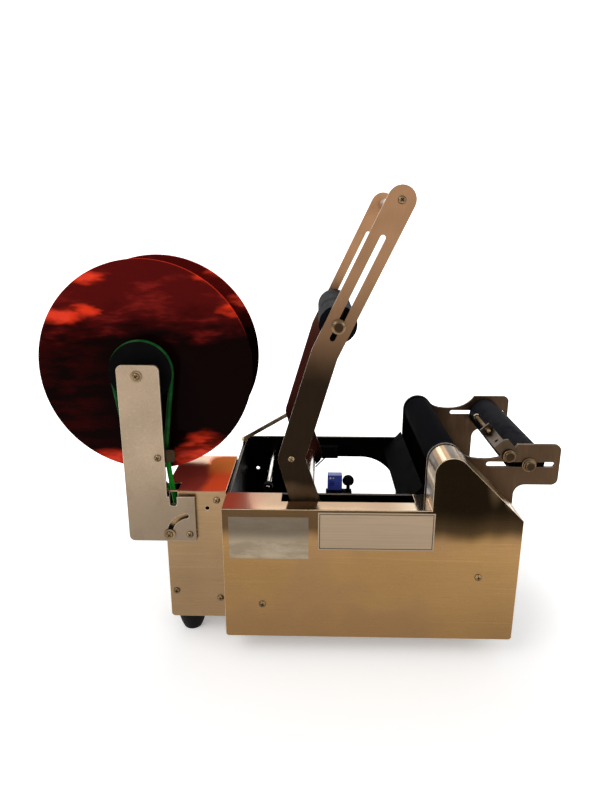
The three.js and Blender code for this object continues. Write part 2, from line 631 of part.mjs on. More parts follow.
// Rollers, each between the side plates
function makeRollers() {
  const start = plate.nearInnerY + drive.endGap;
  const end = plate.farInnerY - drive.endGap;
  const pulleyEnd = timing.startY + timing.width;
  const shaftEnd = plate.farOuterY + bearing.width + seatGap;
  const core = drive.radius - drive.sleeve;
  const driveCore = turnedY([
    ...pulleyProfile(drive.pulleyRadius), [drive.shaftRadius, pulleyEnd], [drive.shaftRadius, start],
    [core, start], [core, end], [drive.shaftRadius, end], [drive.shaftRadius, shaftEnd], [0, shaftEnd],
  ], drive.x, 0, drive.z);
  add('drive_roller_core', driveCore, 'screwSteel');
  const sleeve = ringY(drive.x, drive.z, drive.radius, core + seatGap / 2, start, end, fineSteps, fineSteps);
  add('drive_roller_sleeve', sleeve, 'rubber');

  const idlerStart = plate.nearInnerY + idler.endGap;
  const idlerEnd = plate.farInnerY - idler.endGap;
  const idlerBore = idler.axleRadius + shaftGap;
  const tube = ringY(idler.x, idler.z, idler.radius, idlerBore, idlerStart, idlerEnd, fineSteps);
  add('idler_roller', tube, 'blackPlastic');
  const { nearOuterY, nearInnerY, farInnerY, farOuterY } = plate;
  const axle = slottedAxle(idler.x, idler.z, idler, nearOuterY, nearInnerY, farInnerY, farOuterY);
  add('idler_axle', axle, 'screwSteel');
  add('idler_nut', capNut(idler.x, idler.z, idler.studRadius, nearOuterY), 'screwSteel');

  const tractionEnd = farOuterY + seatGap;
  const tractionRoller = turnedY([
    ...pulleyProfile(traction.pulleyRadius), [traction.shaftRadius, pulleyEnd], [traction.shaftRadius, start],
    [traction.radius, start], [traction.radius, end], [traction.shaftRadius, end],
    [traction.shaftRadius, tractionEnd], [0, tractionEnd],
  ], traction.x, 0, traction.z);
  add('traction_roller', tractionRoller, 'rubber');
}

// An axle between two slotted walls: thick inside, thin studs through the slots and a head at the back
function slottedAxle(x, z, sizes, outer0, inner0, inner1, outer1) {
  const { washerRadius, washerHeight, headRadius, headHeight, nutHeight } = capBolt;
  const start = outer0 - washerHeight - nutHeight;
  const seat = outer1 + seatGap;
  const chamfer = (headHeight - nutHeight) / 2;
  const crown = seat + washerHeight + headHeight;
  const profile = [
    [0, start], [sizes.studRadius, start], [sizes.studRadius, inner0 + seatGap],
    [sizes.axleRadius, inner0 + seatGap], [sizes.axleRadius, inner1 - seatGap],
    [sizes.studRadius, inner1 - seatGap], [sizes.studRadius, seat], [washerRadius, seat],
    [washerRadius, seat + washerHeight], [headRadius, seat + washerHeight],
    [headRadius, crown - chamfer], [headRadius - chamfer, crown], [0, crown],
  ];
  return turnedY(profile, x, 0, z);
}

// A capped nut with its washer on the outer face at the front
function capNut(x, z, studRadius, faceY) {
  const { washerRadius, washerHeight, headRadius, headHeight, nutHeight } = capBolt;
  const full = washerHeight + headHeight;
  const chamfer = (headHeight - nutHeight) / 2;
  const depth = washerHeight + nutHeight + seatGap;
  const bore = studRadius + seatGap / 2;
  const points = [
    [bore, 0], [washerRadius, 0], [washerRadius, washerHeight], [headRadius, washerHeight],
    [headRadius, full - chamfer], [headRadius - chamfer, full], [0, full], [0, depth], [bore, depth],
    [bore, 0],
  ].map(([radius, distance]) => new THREE.Vector2(radius, distance));
  const geometry = new THREE.LatheGeometry(points, smallSteps + arcSteps);
  geometry.rotateX(Math.PI);
  geometry.translate(x, faceY - seatGap, z);
  return toSolid(geometry);
}

// Toothed belt drive behind the cover
function makeBeltDrive() {
  const wheels = [
    { x: motor.x, z: motor.z, radius: motor.pulleyRadius },
    { x: traction.x, z: traction.z, radius: traction.pulleyRadius },
    { x: drive.x, z: drive.z, radius: drive.pulleyRadius },
  ];
  const y0 = timing.startY + timing.flangeWidth + seatGap;
  const y1 = timing.startY + timing.width - timing.flangeWidth - seatGap;
  const outside = slab(hullOutline(wheels, timing.thickness + seatGap), y0, y1);
  const inside = slab(hullOutline(wheels, seatGap), y0 - cutOverrun, y1 + cutOverrun);
  add('timing_belt', outside.subtract(inside), 'rubber');
  const inner = plate.nearInnerY;
  const { x, z, gearboxHalf, shaftRadius } = motor;
  const gearboxEnd = inner + motor.gearboxLength;
  const gearbox = block(
    x - gearboxHalf, x + gearboxHalf, inner + seatGap, gearboxEnd, z - gearboxHalf, z + gearboxHalf,
  );
  const can = rodY(x, z, motor.radius - weldSink, gearboxEnd - weldSink, inner + motor.length);
  const shaftBore = rodY(x, z, shaftRadius + shaftGap, inner, gearboxEnd);
  add('gear_motor', joined([gearbox, can]).subtract(shaftBore), 'blackSteel');
  const shaftEnd = gearboxEnd - seatGap;
  const pulley = turnedY([
    ...pulleyProfile(motor.pulleyRadius), [shaftRadius, timing.startY + timing.width],
    [shaftRadius, shaftEnd], [0, shaftEnd],
  ], x, 0, z);
  add('motor_pulley', pulley, 'blackSteel');
}

// Outline that a tight belt draws round wheels listed counterclockwise, standing off by extra
function hullOutline(wheels, extra) {
  const shape = new THREE.Shape();
  const count = wheels.length;
  const normals = wheels.map((wheel, index) => {
    const next = wheels[(index + 1) % count];
    const along = Math.atan2(next.z - wheel.z, next.x - wheel.x);
    const distance = Math.hypot(next.x - wheel.x, next.z - wheel.z);
    return along - Math.acos((wheel.radius - next.radius) / distance);
  });
  wheels.forEach((wheel, index) => {
    const from = normals[(index + count - 1) % count];
    const to = normals[index];
    shape.absarc(wheel.x, wheel.z, wheel.radius + extra, from, to, false);
  });
  shape.closePath();
  return shape;
}

// Press lever: arms, shaft, handle, roller and stop rod
const leverSpots = {
  pivot: [lever.pivotX, lever.pivotZ],
  elbow: [lever.pivotX + lever.elbowX, lever.pivotZ + lever.elbowZ],
  bend: [lever.pivotX + lever.bendX, lever.pivotZ + lever.bendZ],
  tip: [lever.pivotX + lever.tipX, lever.pivotZ + lever.tipZ],
};
const slotLean = Math.atan2(lever.tipZ - lever.bendZ, lever.tipX - lever.bendX);

function alongSlot(distanceFromTip) {
  const [tipX, tipZ] = leverSpots.tip;
  return [tipX - distanceFromTip * Math.cos(slotLean), tipZ - distanceFromTip * Math.sin(slotLean)];
}

const pressSpot = alongSlot(lever.slotFromTip + lever.slotLength - lever.pressFromSlotEnd);

function leverArm(y) {
  const y1 = y + lever.thickness;
  const { pivot, elbow, bend, tip } = leverSpots;
  const limbs = [
    limb(...pivot, lever.pivotRadius, ...elbow, lever.elbowRadius),
    limb(...elbow, lever.elbowRadius, ...bend, lever.bendRadius),
    limb(...bend, lever.bendRadius, ...tip, lever.tipRadius),
  ].map((shape) => slab(shape, y, y1));
  const half = lever.slotWidth / 2;
  const slotShape = limb(
    ...alongSlot(lever.slotFromTip + lever.slotLength), half, ...alongSlot(lever.slotFromTip), half,
  );
  return cut(joined(limbs), [
    slab(slotShape, y - cutOverrun, y1 + cutOverrun),
    boreY(...pivot, lever.shaftRadius + seatGap / 2, y, y1),
    boreY(...tip, handle.spigotRadius + seatGap, y, y1, smallSteps),
    screwHole(...elbow, y, y1),
  ]);
}

function makeLever() {
  const nearInner = lever.nearY + lever.thickness;
  const farOuter = lever.farY + lever.thickness;
  add('near_arm', leverArm(lever.nearY), 'darkStainless');
  add('far_arm', leverArm(lever.farY), 'darkStainless');
  const collarWidth = lever.collarWidth;
  const shaftStart = lever.nearY - collarWidth - seatGap;
  const shaftEnd = plate.farOuterY + seatGap;
  const farCollar = farOuter + seatGap;
  const shaft = turnedY([
    [0, shaftStart], [lever.collarRadius, shaftStart], [lever.collarRadius, shaftStart + collarWidth],
    [lever.shaftRadius, shaftStart + collarWidth], [lever.shaftRadius, farCollar],
    [lever.collarRadius, farCollar], [lever.collarRadius, farCollar + collarWidth],
    [lever.shaftRadius, farCollar + collarWidth], [lever.shaftRadius, shaftEnd], [0, shaftEnd],
  ], lever.pivotX, 0, lever.pivotZ);
  add('lever_shaft', shaft, 'screwSteel');

  const barStart = nearInner + seatGap;
  const barEnd = lever.farY - seatGap;
  const bar = turnedY([
    [0, lever.nearY], [handle.spigotRadius, lever.nearY], [handle.spigotRadius, barStart],
    [handle.radius, barStart], [handle.radius, barEnd], [handle.spigotRadius, barEnd],
    [handle.spigotRadius, farOuter], [0, farOuter],
  ], leverSpots.tip[0], 0, leverSpots.tip[1]);
  add('handle_bar', bar, 'darkStainless');
  const slideAxle = slottedAxle(...pressSpot, press, lever.nearY, nearInner, lever.farY, farOuter);
  add('press_axle', slideAxle, 'screwSteel');
  add('press_nut', capNut(...pressSpot, press.studRadius, lever.nearY), 'screwSteel');
  const rollerStart = nearInner + press.endGap;
  const rollerEnd = lever.farY - press.endGap;
  const rollerBore = press.axleRadius + shaftGap;
  const roller = ringY(...pressSpot, press.radius, rollerBore, rollerStart, rollerEnd, fineSteps);
  add('press_roller', roller, 'rubber');
  makeStopRod(farOuter);
  add('return_spring', returnSpring(), 'screwSteel');
}

// The stop rod runs from the far arm's elbow to a rubber pad on the left end plate's top edge
function makeStopRod(armFace) {
  const { elbow } = leverSpots;
  const lugStart = armFace + seatGap;
  const middleY = lugStart + stopRod.lugThickness / 2;
  const padBottom = cover.ledgeTop - cover.sheet;
  const padTop = padBottom + restPad.height;
  const footTop = padTop + seatGap + stopRod.footHeight;
  const footPoint = new THREE.Vector3(edgeMiddle, middleY, footTop - stopRod.footHeight / 4);
  const rod = rodBetween(footPoint, new THREE.Vector3(elbow[0], middleY, elbow[1]), stopRod.radius);
  const rodFoot = rodZ(edgeMiddle, middleY, stopRod.footRadius, padTop + seatGap, footTop, smallSteps);
  const lug = rodY(...elbow, stopRod.lugRadius, lugStart, lugStart + stopRod.lugThickness, smallSteps);
  const armSide = block(
    edgeMiddle - stopRod.reach, lever.pivotX, lever.farY, lugStart,
    footTop - stopRod.reach, elbow[1] + stopRod.reach,
  );
  const stud = rodY(...elbow, buttonScrew.shankRadius, lever.farY, middleY, smallSteps);
  add('stop_rod', joined([rod.subtract(armSide), lug, stud, rodFoot]), 'darkStainless');
  const half = restPad.length / 2;
  add('rest_pad', block(0, plate.thickness, middleY - half, middleY + half, padBottom, padTop), 'rubber');
}

// Torsion spring round the lever shaft, just inside the near plate
function returnSpring() {
  const points = [];
  const y0 = plate.nearInnerY + spring.startGap;
  const count = spring.turns * spring.steps;
  for (let index = 0; index <= count; index += 1) {
    const angle = (2 * Math.PI * index) / spring.steps;
    points.push(new THREE.Vector3(
      lever.pivotX + spring.coilRadius * Math.cos(angle),
      y0 + (spring.pitch * index) / spring.steps,
      lever.pivotZ + spring.coilRadius * Math.sin(angle),
    ));
  }
  const path = new THREE.CatmullRomCurve3(points);
  const ring = [];
  for (let side = 0; side < spring.sides; side += 1) {
    const angle = (2 * Math.PI * side) / spring.sides;
    ring.push(new THREE.Vector2(spring.wireRadius * Math.cos(angle), spring.wireRadius * Math.sin(angle)));
  }
  const geometry = new THREE.ExtrudeGeometry(new THREE.Shape(ring), { steps: count, extrudePath: path });
  return toSolid(geometry);
}

// Reel bracket with its arc slot, and what turns the reel
function makeBracket() {
  const { left, top, bottom, footRight, footTop, cornerRadius, frontY, backY, pivotX, pivotZ } = bracket;
  const armRight = left + bracket.armWidth;
  const notchLeft = bracket.notchX - bracket.notchWidth / 2;
  const notchRight = bracket.notchX + bracket.notchWidth / 2;
  const notchBottom = footTop - bracket.notchDepth;
  const outline = filleted([
    [left, bottom, cornerRadius], [footRight, bottom], [footRight, footTop],
    [notchRight, footTop], [notchRight, notchBottom, bracket.notchWidth / 3],
    [notchLeft, notchBottom, bracket.notchWidth / 3], [notchLeft, footTop],
    [armRight, footTop], [armRight, top, cornerRadius], [left, top, cornerRadius],
  ]);
  const half = bracket.slotWidth / 2;
  const sweep = THREE.MathUtils.degToRad(bracket.slotSweep);
  const arc = new THREE.Shape();
  const middle = bracket.slotRadius;
  arc.absarc(pivotX, pivotZ, middle + half, Math.PI, Math.PI - sweep, true);
  const endX = pivotX + middle * Math.cos(Math.PI - sweep);
  const endZ = pivotZ + middle * Math.sin(Math.PI - sweep);
  arc.absarc(endX, endZ, half, Math.PI - sweep, -sweep, true);
  arc.absarc(pivotX, pivotZ, middle - half, Math.PI - sweep, Math.PI, false);
  arc.absarc(pivotX - middle, pivotZ, half, 0, -Math.PI, true);
  arc.closePath();
  const holes = [
    slab(arc, frontY - cutOverrun, backY + cutOverrun), screwHole(pivotX, pivotZ, frontY, box.front),
    screwHole(guidePlate.screwX, guidePlate.screwZ, frontY, backY), screwHole(reel.x, reel.z, frontY, backY),
  ];
  const spacerStart = backY - bracket.thickness / 2;
  const spacerEnd = box.front - seatGap / 2;
  const spacer = rodY(pivotX, pivotZ, buttonScrew.headRadius, spacerStart, spacerEnd, smallSteps);
  add('reel_bracket', cut(slab(outline, frontY, backY).add(spacer), holes), 'bracketSteel');

  const screwLength = bracket.thickness + bracket.standOff + box.panel + seatGap;
  add('pivot_screw', buttonScrewY(pivotX, pivotZ, frontY, -1, screwLength), 'screwSteel');
  const slotX = pivotX - middle;
  const washerFace = frontY - seatGap - capBolt.washerHeight;
  const washer = rodY(slotX, pivotZ, capBolt.washerRadius, washerFace, frontY - seatGap);
  const slotScrewLength = screwLength + capBolt.washerHeight;
  const slotScrew = buttonScrewY(slotX, pivotZ, washerFace + seatGap * 2, -1, slotScrewLength);
  add('slot_screw', slotScrew.add(washer), 'screwSteel');

  const plateStart = backY + seatGap;
  const plateBack = plateStart + guidePlate.thickness;
  const guideOutline = rectangle(
    left + cornerRadius / 2, guidePlate.right, guidePlate.bottom, guidePlate.top, bracket.notchWidth / 3,
  );
  const guide = slab(guideOutline, plateStart, plateBack)
    .subtract(screwHole(guidePlate.screwX, guidePlate.screwZ, plateStart, plateBack));
  const pinEnd = belt.y + belt.pulleyWidth / 2;
  const pins = [[guidePin.rightX, guidePin.rightZ], [guidePin.leftX, guidePin.leftZ]].map(([x, z]) => (
    rodY(x, z, guidePin.radius, plateBack - guidePlate.thickness / 2, pinEnd, smallSteps)
  ));
  add('belt_guide', joined([guide, ...pins]), 'screwSteel');

  const axleStart = backY + seatGap;
  const axle = rodY(reel.x, reel.z, reel.axleRadius, axleStart, reel.axleEndY);
  const axleBore = screwHole(reel.x, reel.z, axleStart, axleStart + buttonScrew.length);
  add('reel_axle', axle.subtract(axleBore), 'screwSteel');
  const axleScrewLength = bracket.thickness + buttonScrew.length;
  add('axle_screw', buttonScrewY(reel.x, reel.z, frontY, -1, axleScrewLength), 'screwSteel');
}

function grooved(x, z, beltRadius, boreRadius) {
  const half = belt.pulleyWidth / 2;
  const rim = beltRadius + belt.lipHeight;
  const floor = beltRadius - belt.radius - seatGap;
  const profile = [[0, -half], [rim, -half]];
  const wall = half - belt.radius - seatGap * 2;
  profile.push([rim, -half + wall / 2]);
  profile.push([floor, -belt.radius / 2], [floor, belt.radius / 2]);
  profile.push([rim, half - wall / 2], [rim, half], [0, half]);
  const wheel = turnedY(profile, x, belt.y, z, fineSteps);
  return wheel.subtract(boreY(x, z, boreRadius, belt.y - half, belt.y + half));
}

function makeReel() {
  const bore = reel.axleRadius + shaftGap;
  const near = reel.nearDiscY;
  const disc = (y) => ringY(reel.x, reel.z, reel.discRadius, bore, y, y + reel.discThickness, fineSteps * 2);
  const boss = ringY(reel.x, reel.z, reel.collarRadius, bore, belt.y, near - seatGap);
  add('reel_pulley', grooved(reel.x, reel.z, belt.reelRadius, bore).add(boss), 'blackPlastic');
  add('near_disc', disc(near), 'acrylic');
  const hubStart = near + reel.discThickness + seatGap;
  const hub = ringY(reel.x, reel.z, reel.hubRadius, bore, hubStart, reel.farDiscY - seatGap, fineSteps);
  add('reel_hub', hub, 'blackPlastic');
  add('far_disc', disc(reel.farDiscY), 'acrylic');
  const collarStart = reel.farDiscY + reel.discThickness + seatGap;
  const collar = ringY(reel.x, reel.z, reel.collarRadius, bore, collarStart, collarStart + reel.collarWidth);
  add('far_disc_collar', collar, 'blackPlastic');

  const { pivotX, pivotZ } = bracket;
  const { radius, startY, length, shaftRadius, mountThickness } = reelMotor;
  const shaftEnd = startY + length / 2;
  const shaft = rodY(pivotX, pivotZ, shaftRadius, belt.y - belt.pulleyWidth / 2, shaftEnd, smallSteps);
  const smallPulley = grooved(pivotX, pivotZ, belt.driveRadius, shaftRadius / 2);
  add('reel_drive_pulley', smallPulley.add(shaft), 'blackPlastic');
  const can = rodY(pivotX, pivotZ, radius, startY + weldSink, startY + length);
  const mount = block(
    pivotX - radius, -seatGap * 2, startY, startY + mountThickness,
    frameBottom + box.wall + seatGap, pivotZ + radius,
  );
  const shaftBore = rodY(
    pivotX, pivotZ, shaftRadius + shaftGap, startY - cutOverrun, shaftEnd + shaftGap, smallSteps,
  );
  add('reel_motor', joined([can, mount]).subtract(shaftBore), 'blackSteel');
}

// The round belt's route: over the reel pulley, past both guide pins and crossed round the drive pulley.
// turn is 1 counterclockwise and -1 clockwise; sideways is the side to which the run after a wheel bows.
const pinTrack = guidePin.radius + belt.radius + seatGap;
const routeWheels = [
  { x: reel.x, z: reel.z, radius: belt.reelRadius, turn: -1, sideways: 0 },
  { x: guidePin.rightX, z: guidePin.rightZ, radius: pinTrack, turn: 1, sideways: -1 },
  { x: bracket.pivotX, z: bracket.pivotZ, radius: belt.driveRadius, turn: 1, sideways: 1 },
  { x: guidePin.leftX, z: guidePin.leftZ, radius: pinTrack, turn: -1, sideways: 0 },
];

// Where a straight run leaves one wheel and meets the next
function straightRun(from, to) {
  const along = Math.atan2(to.z - from.z, to.x - from.x);
  const distance = Math.hypot(to.x - from.x, to.z - from.z);
  const lean = Math.asin((from.turn * from.radius - to.turn * to.radius) / distance);
  const heading = along + lean;
  const touch = (wheel) => ({
    angle: heading - (wheel.turn * Math.PI) / 2,
    x: wheel.x + wheel.radius * Math.cos(heading - (wheel.turn * Math.PI) / 2),
    z: wheel.z + wheel.radius * Math.sin(heading - (wheel.turn * Math.PI) / 2),
  });
  return { leave: touch(from), meet: touch(to) };
}

function beltPoints() {
  const count = routeWheels.length;
  const runs = routeWheels.map((wheel, index) => straightRun(wheel, routeWheels[(index + 1) % count]));
  const points = [];
  routeWheels.forEach((wheel, index) => {
    const arrive = runs[(index + count - 1) % count].meet.angle;
    const leave = runs[index].leave.angle;
    let sweep = (leave - arrive) * wheel.turn;
    while (sweep < 0) sweep += 2 * Math.PI;
    while (sweep > 2 * Math.PI) sweep -= 2 * Math.PI;
    const steps = Math.max(2, Math.ceil(sweep / belt.arcStep));
    for (let step = 0; step <= steps; step += 1) {
      const angle = arrive + (wheel.turn * sweep * step) / steps;
      const x = wheel.x + wheel.radius * Math.cos(angle);
      points.push(new THREE.Vector3(x, belt.y, wheel.z + wheel.radius * Math.sin(angle)));
    }
    // The two runs at the drive pulley pass each other side by side
    const { leave: start, meet: end } = runs[index];
    if (wheel.sideways) {
      crossingShares.forEach(([share, offsetShare]) => {
        const y = belt.y + wheel.sideways * belt.crossOffset * offsetShare;
        const x = start.x + (end.x - start.x) * share;
        points.push(new THREE.Vector3(x, y, start.z + (end.z - start.z) * share));
      });
    }
  });
  return points;
}

function makeReelBelt() {
  add('reel_belt', closedTube(beltPoints(), belt.radius, belt.sides), 'beltGreen');
}

// Label path: guide rod, peel plate and sensor
function makeLabelPath() {
  const farEnd = plate.farInnerY - seatGap;
  const { x: rodX0, z: rodZ0, radius: rodRadius, freeEndY, collarRadius, collarWidth } = guideRod;
  add('guide_rod', rodY(rodX0, rodZ0, rodRadius, freeEndY, farEnd, smallSteps), 'screwSteel');
  const collarEnd = freeEndY + collarWidth;
  const bore = rodRadius + shaftGap;
  const collar = ringY(rodX0, rodZ0, collarRadius, bore, freeEndY, collarEnd, smallSteps, smallSteps);
  add('guide_collar', collar, 'blackPlastic');

  const lean = Math.atan2(peelPlate.topZ - peelPlate.lowZ, peelPlate.topX - peelPlate.lowX);
  const offX = peelPlate.thickness * Math.sin(lean);
  const offZ = -peelPlate.thickness * Math.cos(lean);
  const blade = new THREE.Shape([
    new THREE.Vector2(peelPlate.topX, peelPlate.topZ), new THREE.Vector2(peelPlate.lowX, peelPlate.lowZ),
    new THREE.Vector2(peelPlate.lowX + offX, peelPlate.lowZ + offZ),
    new THREE.Vector2(peelPlate.topX, peelPlate.topZ + offZ),
  ]);
  const y0 = plate.nearInnerY + seatGap;
  add('peel_plate', slab(blade, y0, farEnd), 'blackSteel');

  const rail = sensorRail;
  const railEnd = plate.nearInnerY + rail.length;
  add('sensor_rail', rodY(rail.x, rail.z, rail.radius, y0, railEnd, smallSteps), 'screwSteel');
  const frontY = sensor.y - sensor.blockDepth / 2;
  const backY = sensor.y + sensor.blockDepth / 2;
  const halfBlock = sensor.blockWidth / 2;
  const stemFloor = rail.z + rail.radius + shaftGap * 2;
  const carriage = block(
    rail.x - halfBlock, rail.x + halfBlock, frontY, backY, sensor.blockBottom, sensor.blockTop,
  );
  const carriageCuts = [
    boreY(rail.x, rail.z, rail.radius + shaftGap, frontY, backY, smallSteps),
    rodZ(knob.x, sensor.y, knob.stemRadius + shaftGap, stemFloor, sensor.blockTop + cutOverrun, smallSteps),
  ];
  const half = sensor.width / 2;
  const sensorBlock = (bottom, top) => block(
    sensor.x - half, sensor.x + half, sensor.y - sensor.depth / 2, sensor.y + sensor.depth / 2, bottom, top,
  );
  const base = sensorBlock(sensor.blockTop - weldSink, sensor.bottom - seatGap);
  add('sensor_carriage', cut(carriage.add(base), carriageCuts), 'blackSteel');
  add('label_sensor', sensorBlock(sensor.bottom, sensor.bottom + sensor.height), 'sensorBlue');
  const ball = new THREE.SphereGeometry(knob.radius, smallSteps + arcSteps, smallSteps);
  ball.rotateX(Math.PI / 2);
  ball.translate(knob.x, sensor.y, knob.z);
  const stem = rodZ(knob.x, sensor.y, knob.stemRadius, stemFloor + seatGap, knob.z, smallSteps);
  add('sensor_knob', toSolid(ball).add(stem), 'blackPlastic');
}

function makeMicroswitch() {
  const { x, z, width, height, depth, leverLength, leverThickness, rollerRadius, rollerWidth } = microswitch;
  const back = plate.farInnerY - seatGap;
  const front = back - depth;
  const left = x - width / 2;
  const bottom = z - height / 2;
  add('microswitch', block(left, x + width / 2, front, back, bottom, z + height / 2), 'blackPlastic');
  const hingeZ = bottom - seatGap - leverThickness;
  const middle = (front + back) / 2;
  const tipX = left - leverLength / 2;
  const tipZ = hingeZ - leverLength * Math.sin(Math.PI / 3);
  const hingePoint = new THREE.Vector3(left + leverLength / 3, middle, hingeZ);
  const arm = rodBetween(hingePoint, new THREE.Vector3(tipX, middle, tipZ), leverThickness, arcSteps);
  const halfRoller = rollerWidth / 2;
  const roller = rodY(tipX, tipZ, rollerRadius, middle - halfRoller, middle + halfRoller, smallSteps);
  add('microswitch_lever', arm.add(roller), 'blackPlastic');
}

function makeBottleStop() {
  const { boltX, boltZ, lift, tabWide, stripThickness, stripLength, flangeHeight } = bottleStop;
  const outer = plate.nearOuterY - seatGap;
  const tabFront = outer - stripThickness;
  const tilt = THREE.MathUtils.degToRad(bottleStop.tilt);
  const across = new THREE.Vector2(Math.cos(tilt), Math.sin(tilt));
  const up = new THREE.Vector2(-Math.sin(tilt), Math.cos(tilt));
  const half = bottleStop.stripWidth / 2;
  const centre = new THREE.Vector2(boltX, boltZ).addScaledVector(up, lift);
  const corner = (side, rise) => {
    const point = centre.clone().addScaledVector(across, side).addScaledVector(up, rise);
    return [point.x, point.y];
  };
  const band = (low, high) => filleted([
    corner(-half, low), corner(half, low), corner(half, high), corner(-half, high),
  ]);
  const tabLow = -lift - bottleStop.tabRadius;
  const tab = filleted([
    corner(-half, 0), [...corner(-half, tabLow), half], [...corner(tabWide, tabLow), half],
    corner(tabWide, 0),
    corner(half, stripThickness), corner(-half, stripThickness),
  ]);
  const strip = band(0, stripThickness);
  const flange = band(0, flangeHeight);
  const stripEnd = outer + stripLength;
  const screwAt = centre.clone().addScaledVector(up, flangeHeight * bottleStop.screwShare);
  const flangeFace = stripEnd - stripThickness;
  const nutFace = flangeFace - bottleStop.nutHeight;
  const screwBore = bottleStop.screwRadius + shaftGap;
  const solid = cut(joined([
    slab(tab, tabFront, outer), slab(strip, tabFront, stripEnd), slab(flange, flangeFace, stripEnd),
    rodY(screwAt.x, screwAt.y, bottleStop.screwHeadRadius, nutFace, flangeFace + weldSink, hexSides),
  ]), [
    screwHole(boltX, boltZ, tabFront, outer),
    boreY(screwAt.x, screwAt.y, screwBore, nutFace, stripEnd, smallSteps),
    stripHole(centre, up, tabFront + stripLength * bottleStop.holeShare),
  ]);
  add('stop_bracket', solid, 'darkStainless');
  const boltSeat = tabFront - seatGap;
  const boltTop = boltSeat - capBolt.headHeight;
  const boltEnd = boltSeat + buttonScrew.length;
  const bolt = turnedY([
    [0, boltTop], [capBolt.headRadius, boltTop], [capBolt.headRadius, boltSeat],
    [buttonScrew.shankRadius, boltSeat], [buttonScrew.shankRadius, boltEnd], [0, boltEnd],
  ], boltX, 0, boltZ, smallSteps * 2);
  add('stop_bolt', bolt, 'screwSteel');
  const screwStart = flangeFace - bottleStop.screwInside;
  const screwEnd = screwStart + bottleStop.screwLength;
  const headEnd = screwEnd + bottleStop.screwHeadHeight;
  const screw = turnedY([
    [0, screwStart], [bottleStop.screwRadius, screwStart], [bottleStop.screwRadius, screwEnd],
    [bottleStop.screwHeadRadius, screwEnd], [bottleStop.screwHeadRadius, headEnd], [0, headEnd],
  ], screwAt.x, 0, screwAt.y, smallSteps);
  add('stop_screw', screw, 'screwSteel');
}

// The small hole through the strip, square to it
function stripHole(centre, up, y) {
  const reach = bottleStop.stripThickness + cutOverrun;
  const start = new THREE.Vector3(centre.x - up.x * reach, y, centre.y - up.y * reach);
  const end = new THREE.Vector3(centre.x + up.x * reach * 2, y, centre.y + up.y * reach * 2);
  return rodBetween(start, end, bottleStop.holeRadius);
}

// Controls and power inlet on the control box's left wall
function wallBlock(x0, x1, part, halfWidth, halfHeight) {
  return block(x0, x1, part.y - halfWidth, part.y + halfWidth, part.z - halfHeight, part.z + halfHeight);
}

function makeControls() {
  const wallX = box.left;
  const inside = wallX + rocker.depth;
  const halfWidth = rocker.width / 2;
  const halfLength = rocker.length / 2;
  const { bezel } = rocker;
  const edge = bezel / 2;
  const face = wallX - bezel;
  const housing = joined([
    wallBlock(face, wallX - seatGap, rocker, halfWidth + bezel, halfLength + bezel),
    wallBlock(face, inside, rocker, halfWidth, halfLength),
  ]);
  const wellEnd = wallX + rocker.depth / 2;
  const well = wallBlock(face - cutOverrun, wellEnd, rocker, halfWidth - edge, halfLength - edge);
  add('switch_housing', housing.subtract(well), 'blackPlastic');
  const tilt = THREE.MathUtils.degToRad(rocker.tilt);
  const reach = (halfLength - edge) * Math.cos(tilt) - seatGap * 2;
  const proud = face - edge;
  const inner = wallX - seatGap;
  const keyProfile = new THREE.Shape([
    new THREE.Vector2(inner, rocker.z - reach), new THREE.Vector2(inner, rocker.z + reach),
    new THREE.Vector2(proud - edge, rocker.z + reach), new THREE.Vector2(proud + edge / 2, rocker.z),
    new THREE.Vector2(proud - edge, rocker.z - reach),
  ]);
  const keyHalf = halfWidth - edge - seatGap;
  add('switch_key', slab(keyProfile, rocker.y - keyHalf, rocker.y + keyHalf), 'rubber');

  const { y, z, shaftRadius } = speedKnob;
  const knobFoot = wallX - seatGap - speedKnob.washerHeight;
  const grip = rodX(y, z, speedKnob.radius, knobFoot - speedKnob.height, knobFoot);
  const shaft = rodX(y, z, shaftRadius, knobFoot - weldSink, inside + rocker.depth / 2, smallSteps);
  add('speed_knob', grip.add(shaft), 'blackPlastic');

  const rimX = wallX - seatGap;
  const { rim, rimThickness, depth, pinWidth, pinHeight } = inlet;
  const halfInlet = inlet.width / 2;
  const halfHeight = inlet.height / 2;
  const shellEnd = wallX + depth;
  const shell = joined([
    wallBlock(rimX - rimThickness, rimX, inlet, halfInlet + rim, halfHeight + rim),
    wallBlock(rimX - rimThickness, shellEnd, inlet, halfInlet, halfHeight),
  ]);
  const mouth = rimX - rimThickness - cutOverrun;
  const socket = wallBlock(mouth, shellEnd - rim, inlet, halfInlet - rim, halfHeight - rim);
  const pins = [-1, 0, 1].map((side) => {
    const spot = { y: inlet.y + side * inlet.pinSpacing, z: inlet.z };
    return wallBlock(rimX + cutOverrun, shellEnd - rim + seatGap, spot, pinWidth / 2, pinHeight / 2);
  });
  add('power_inlet', joined([shell.subtract(socket), ...pins]), 'blackPlastic');
}

makeFrame();
makeFeet();
makeCover();
makeControlBox();
makeRollers();
makeBeltDrive();
makeLever();
makeBracket();
makeReel();
makeReelBelt();
makeLabelPath();
makeMicroswitch();
makeBottleStop();
makeControls();

machine.position.set(-foot.x, -foot.y, 0);

export default machine;
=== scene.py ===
"""Bench-top bottle labelling machine: finishes, finer pieces and the studio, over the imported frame."""
import json
import math

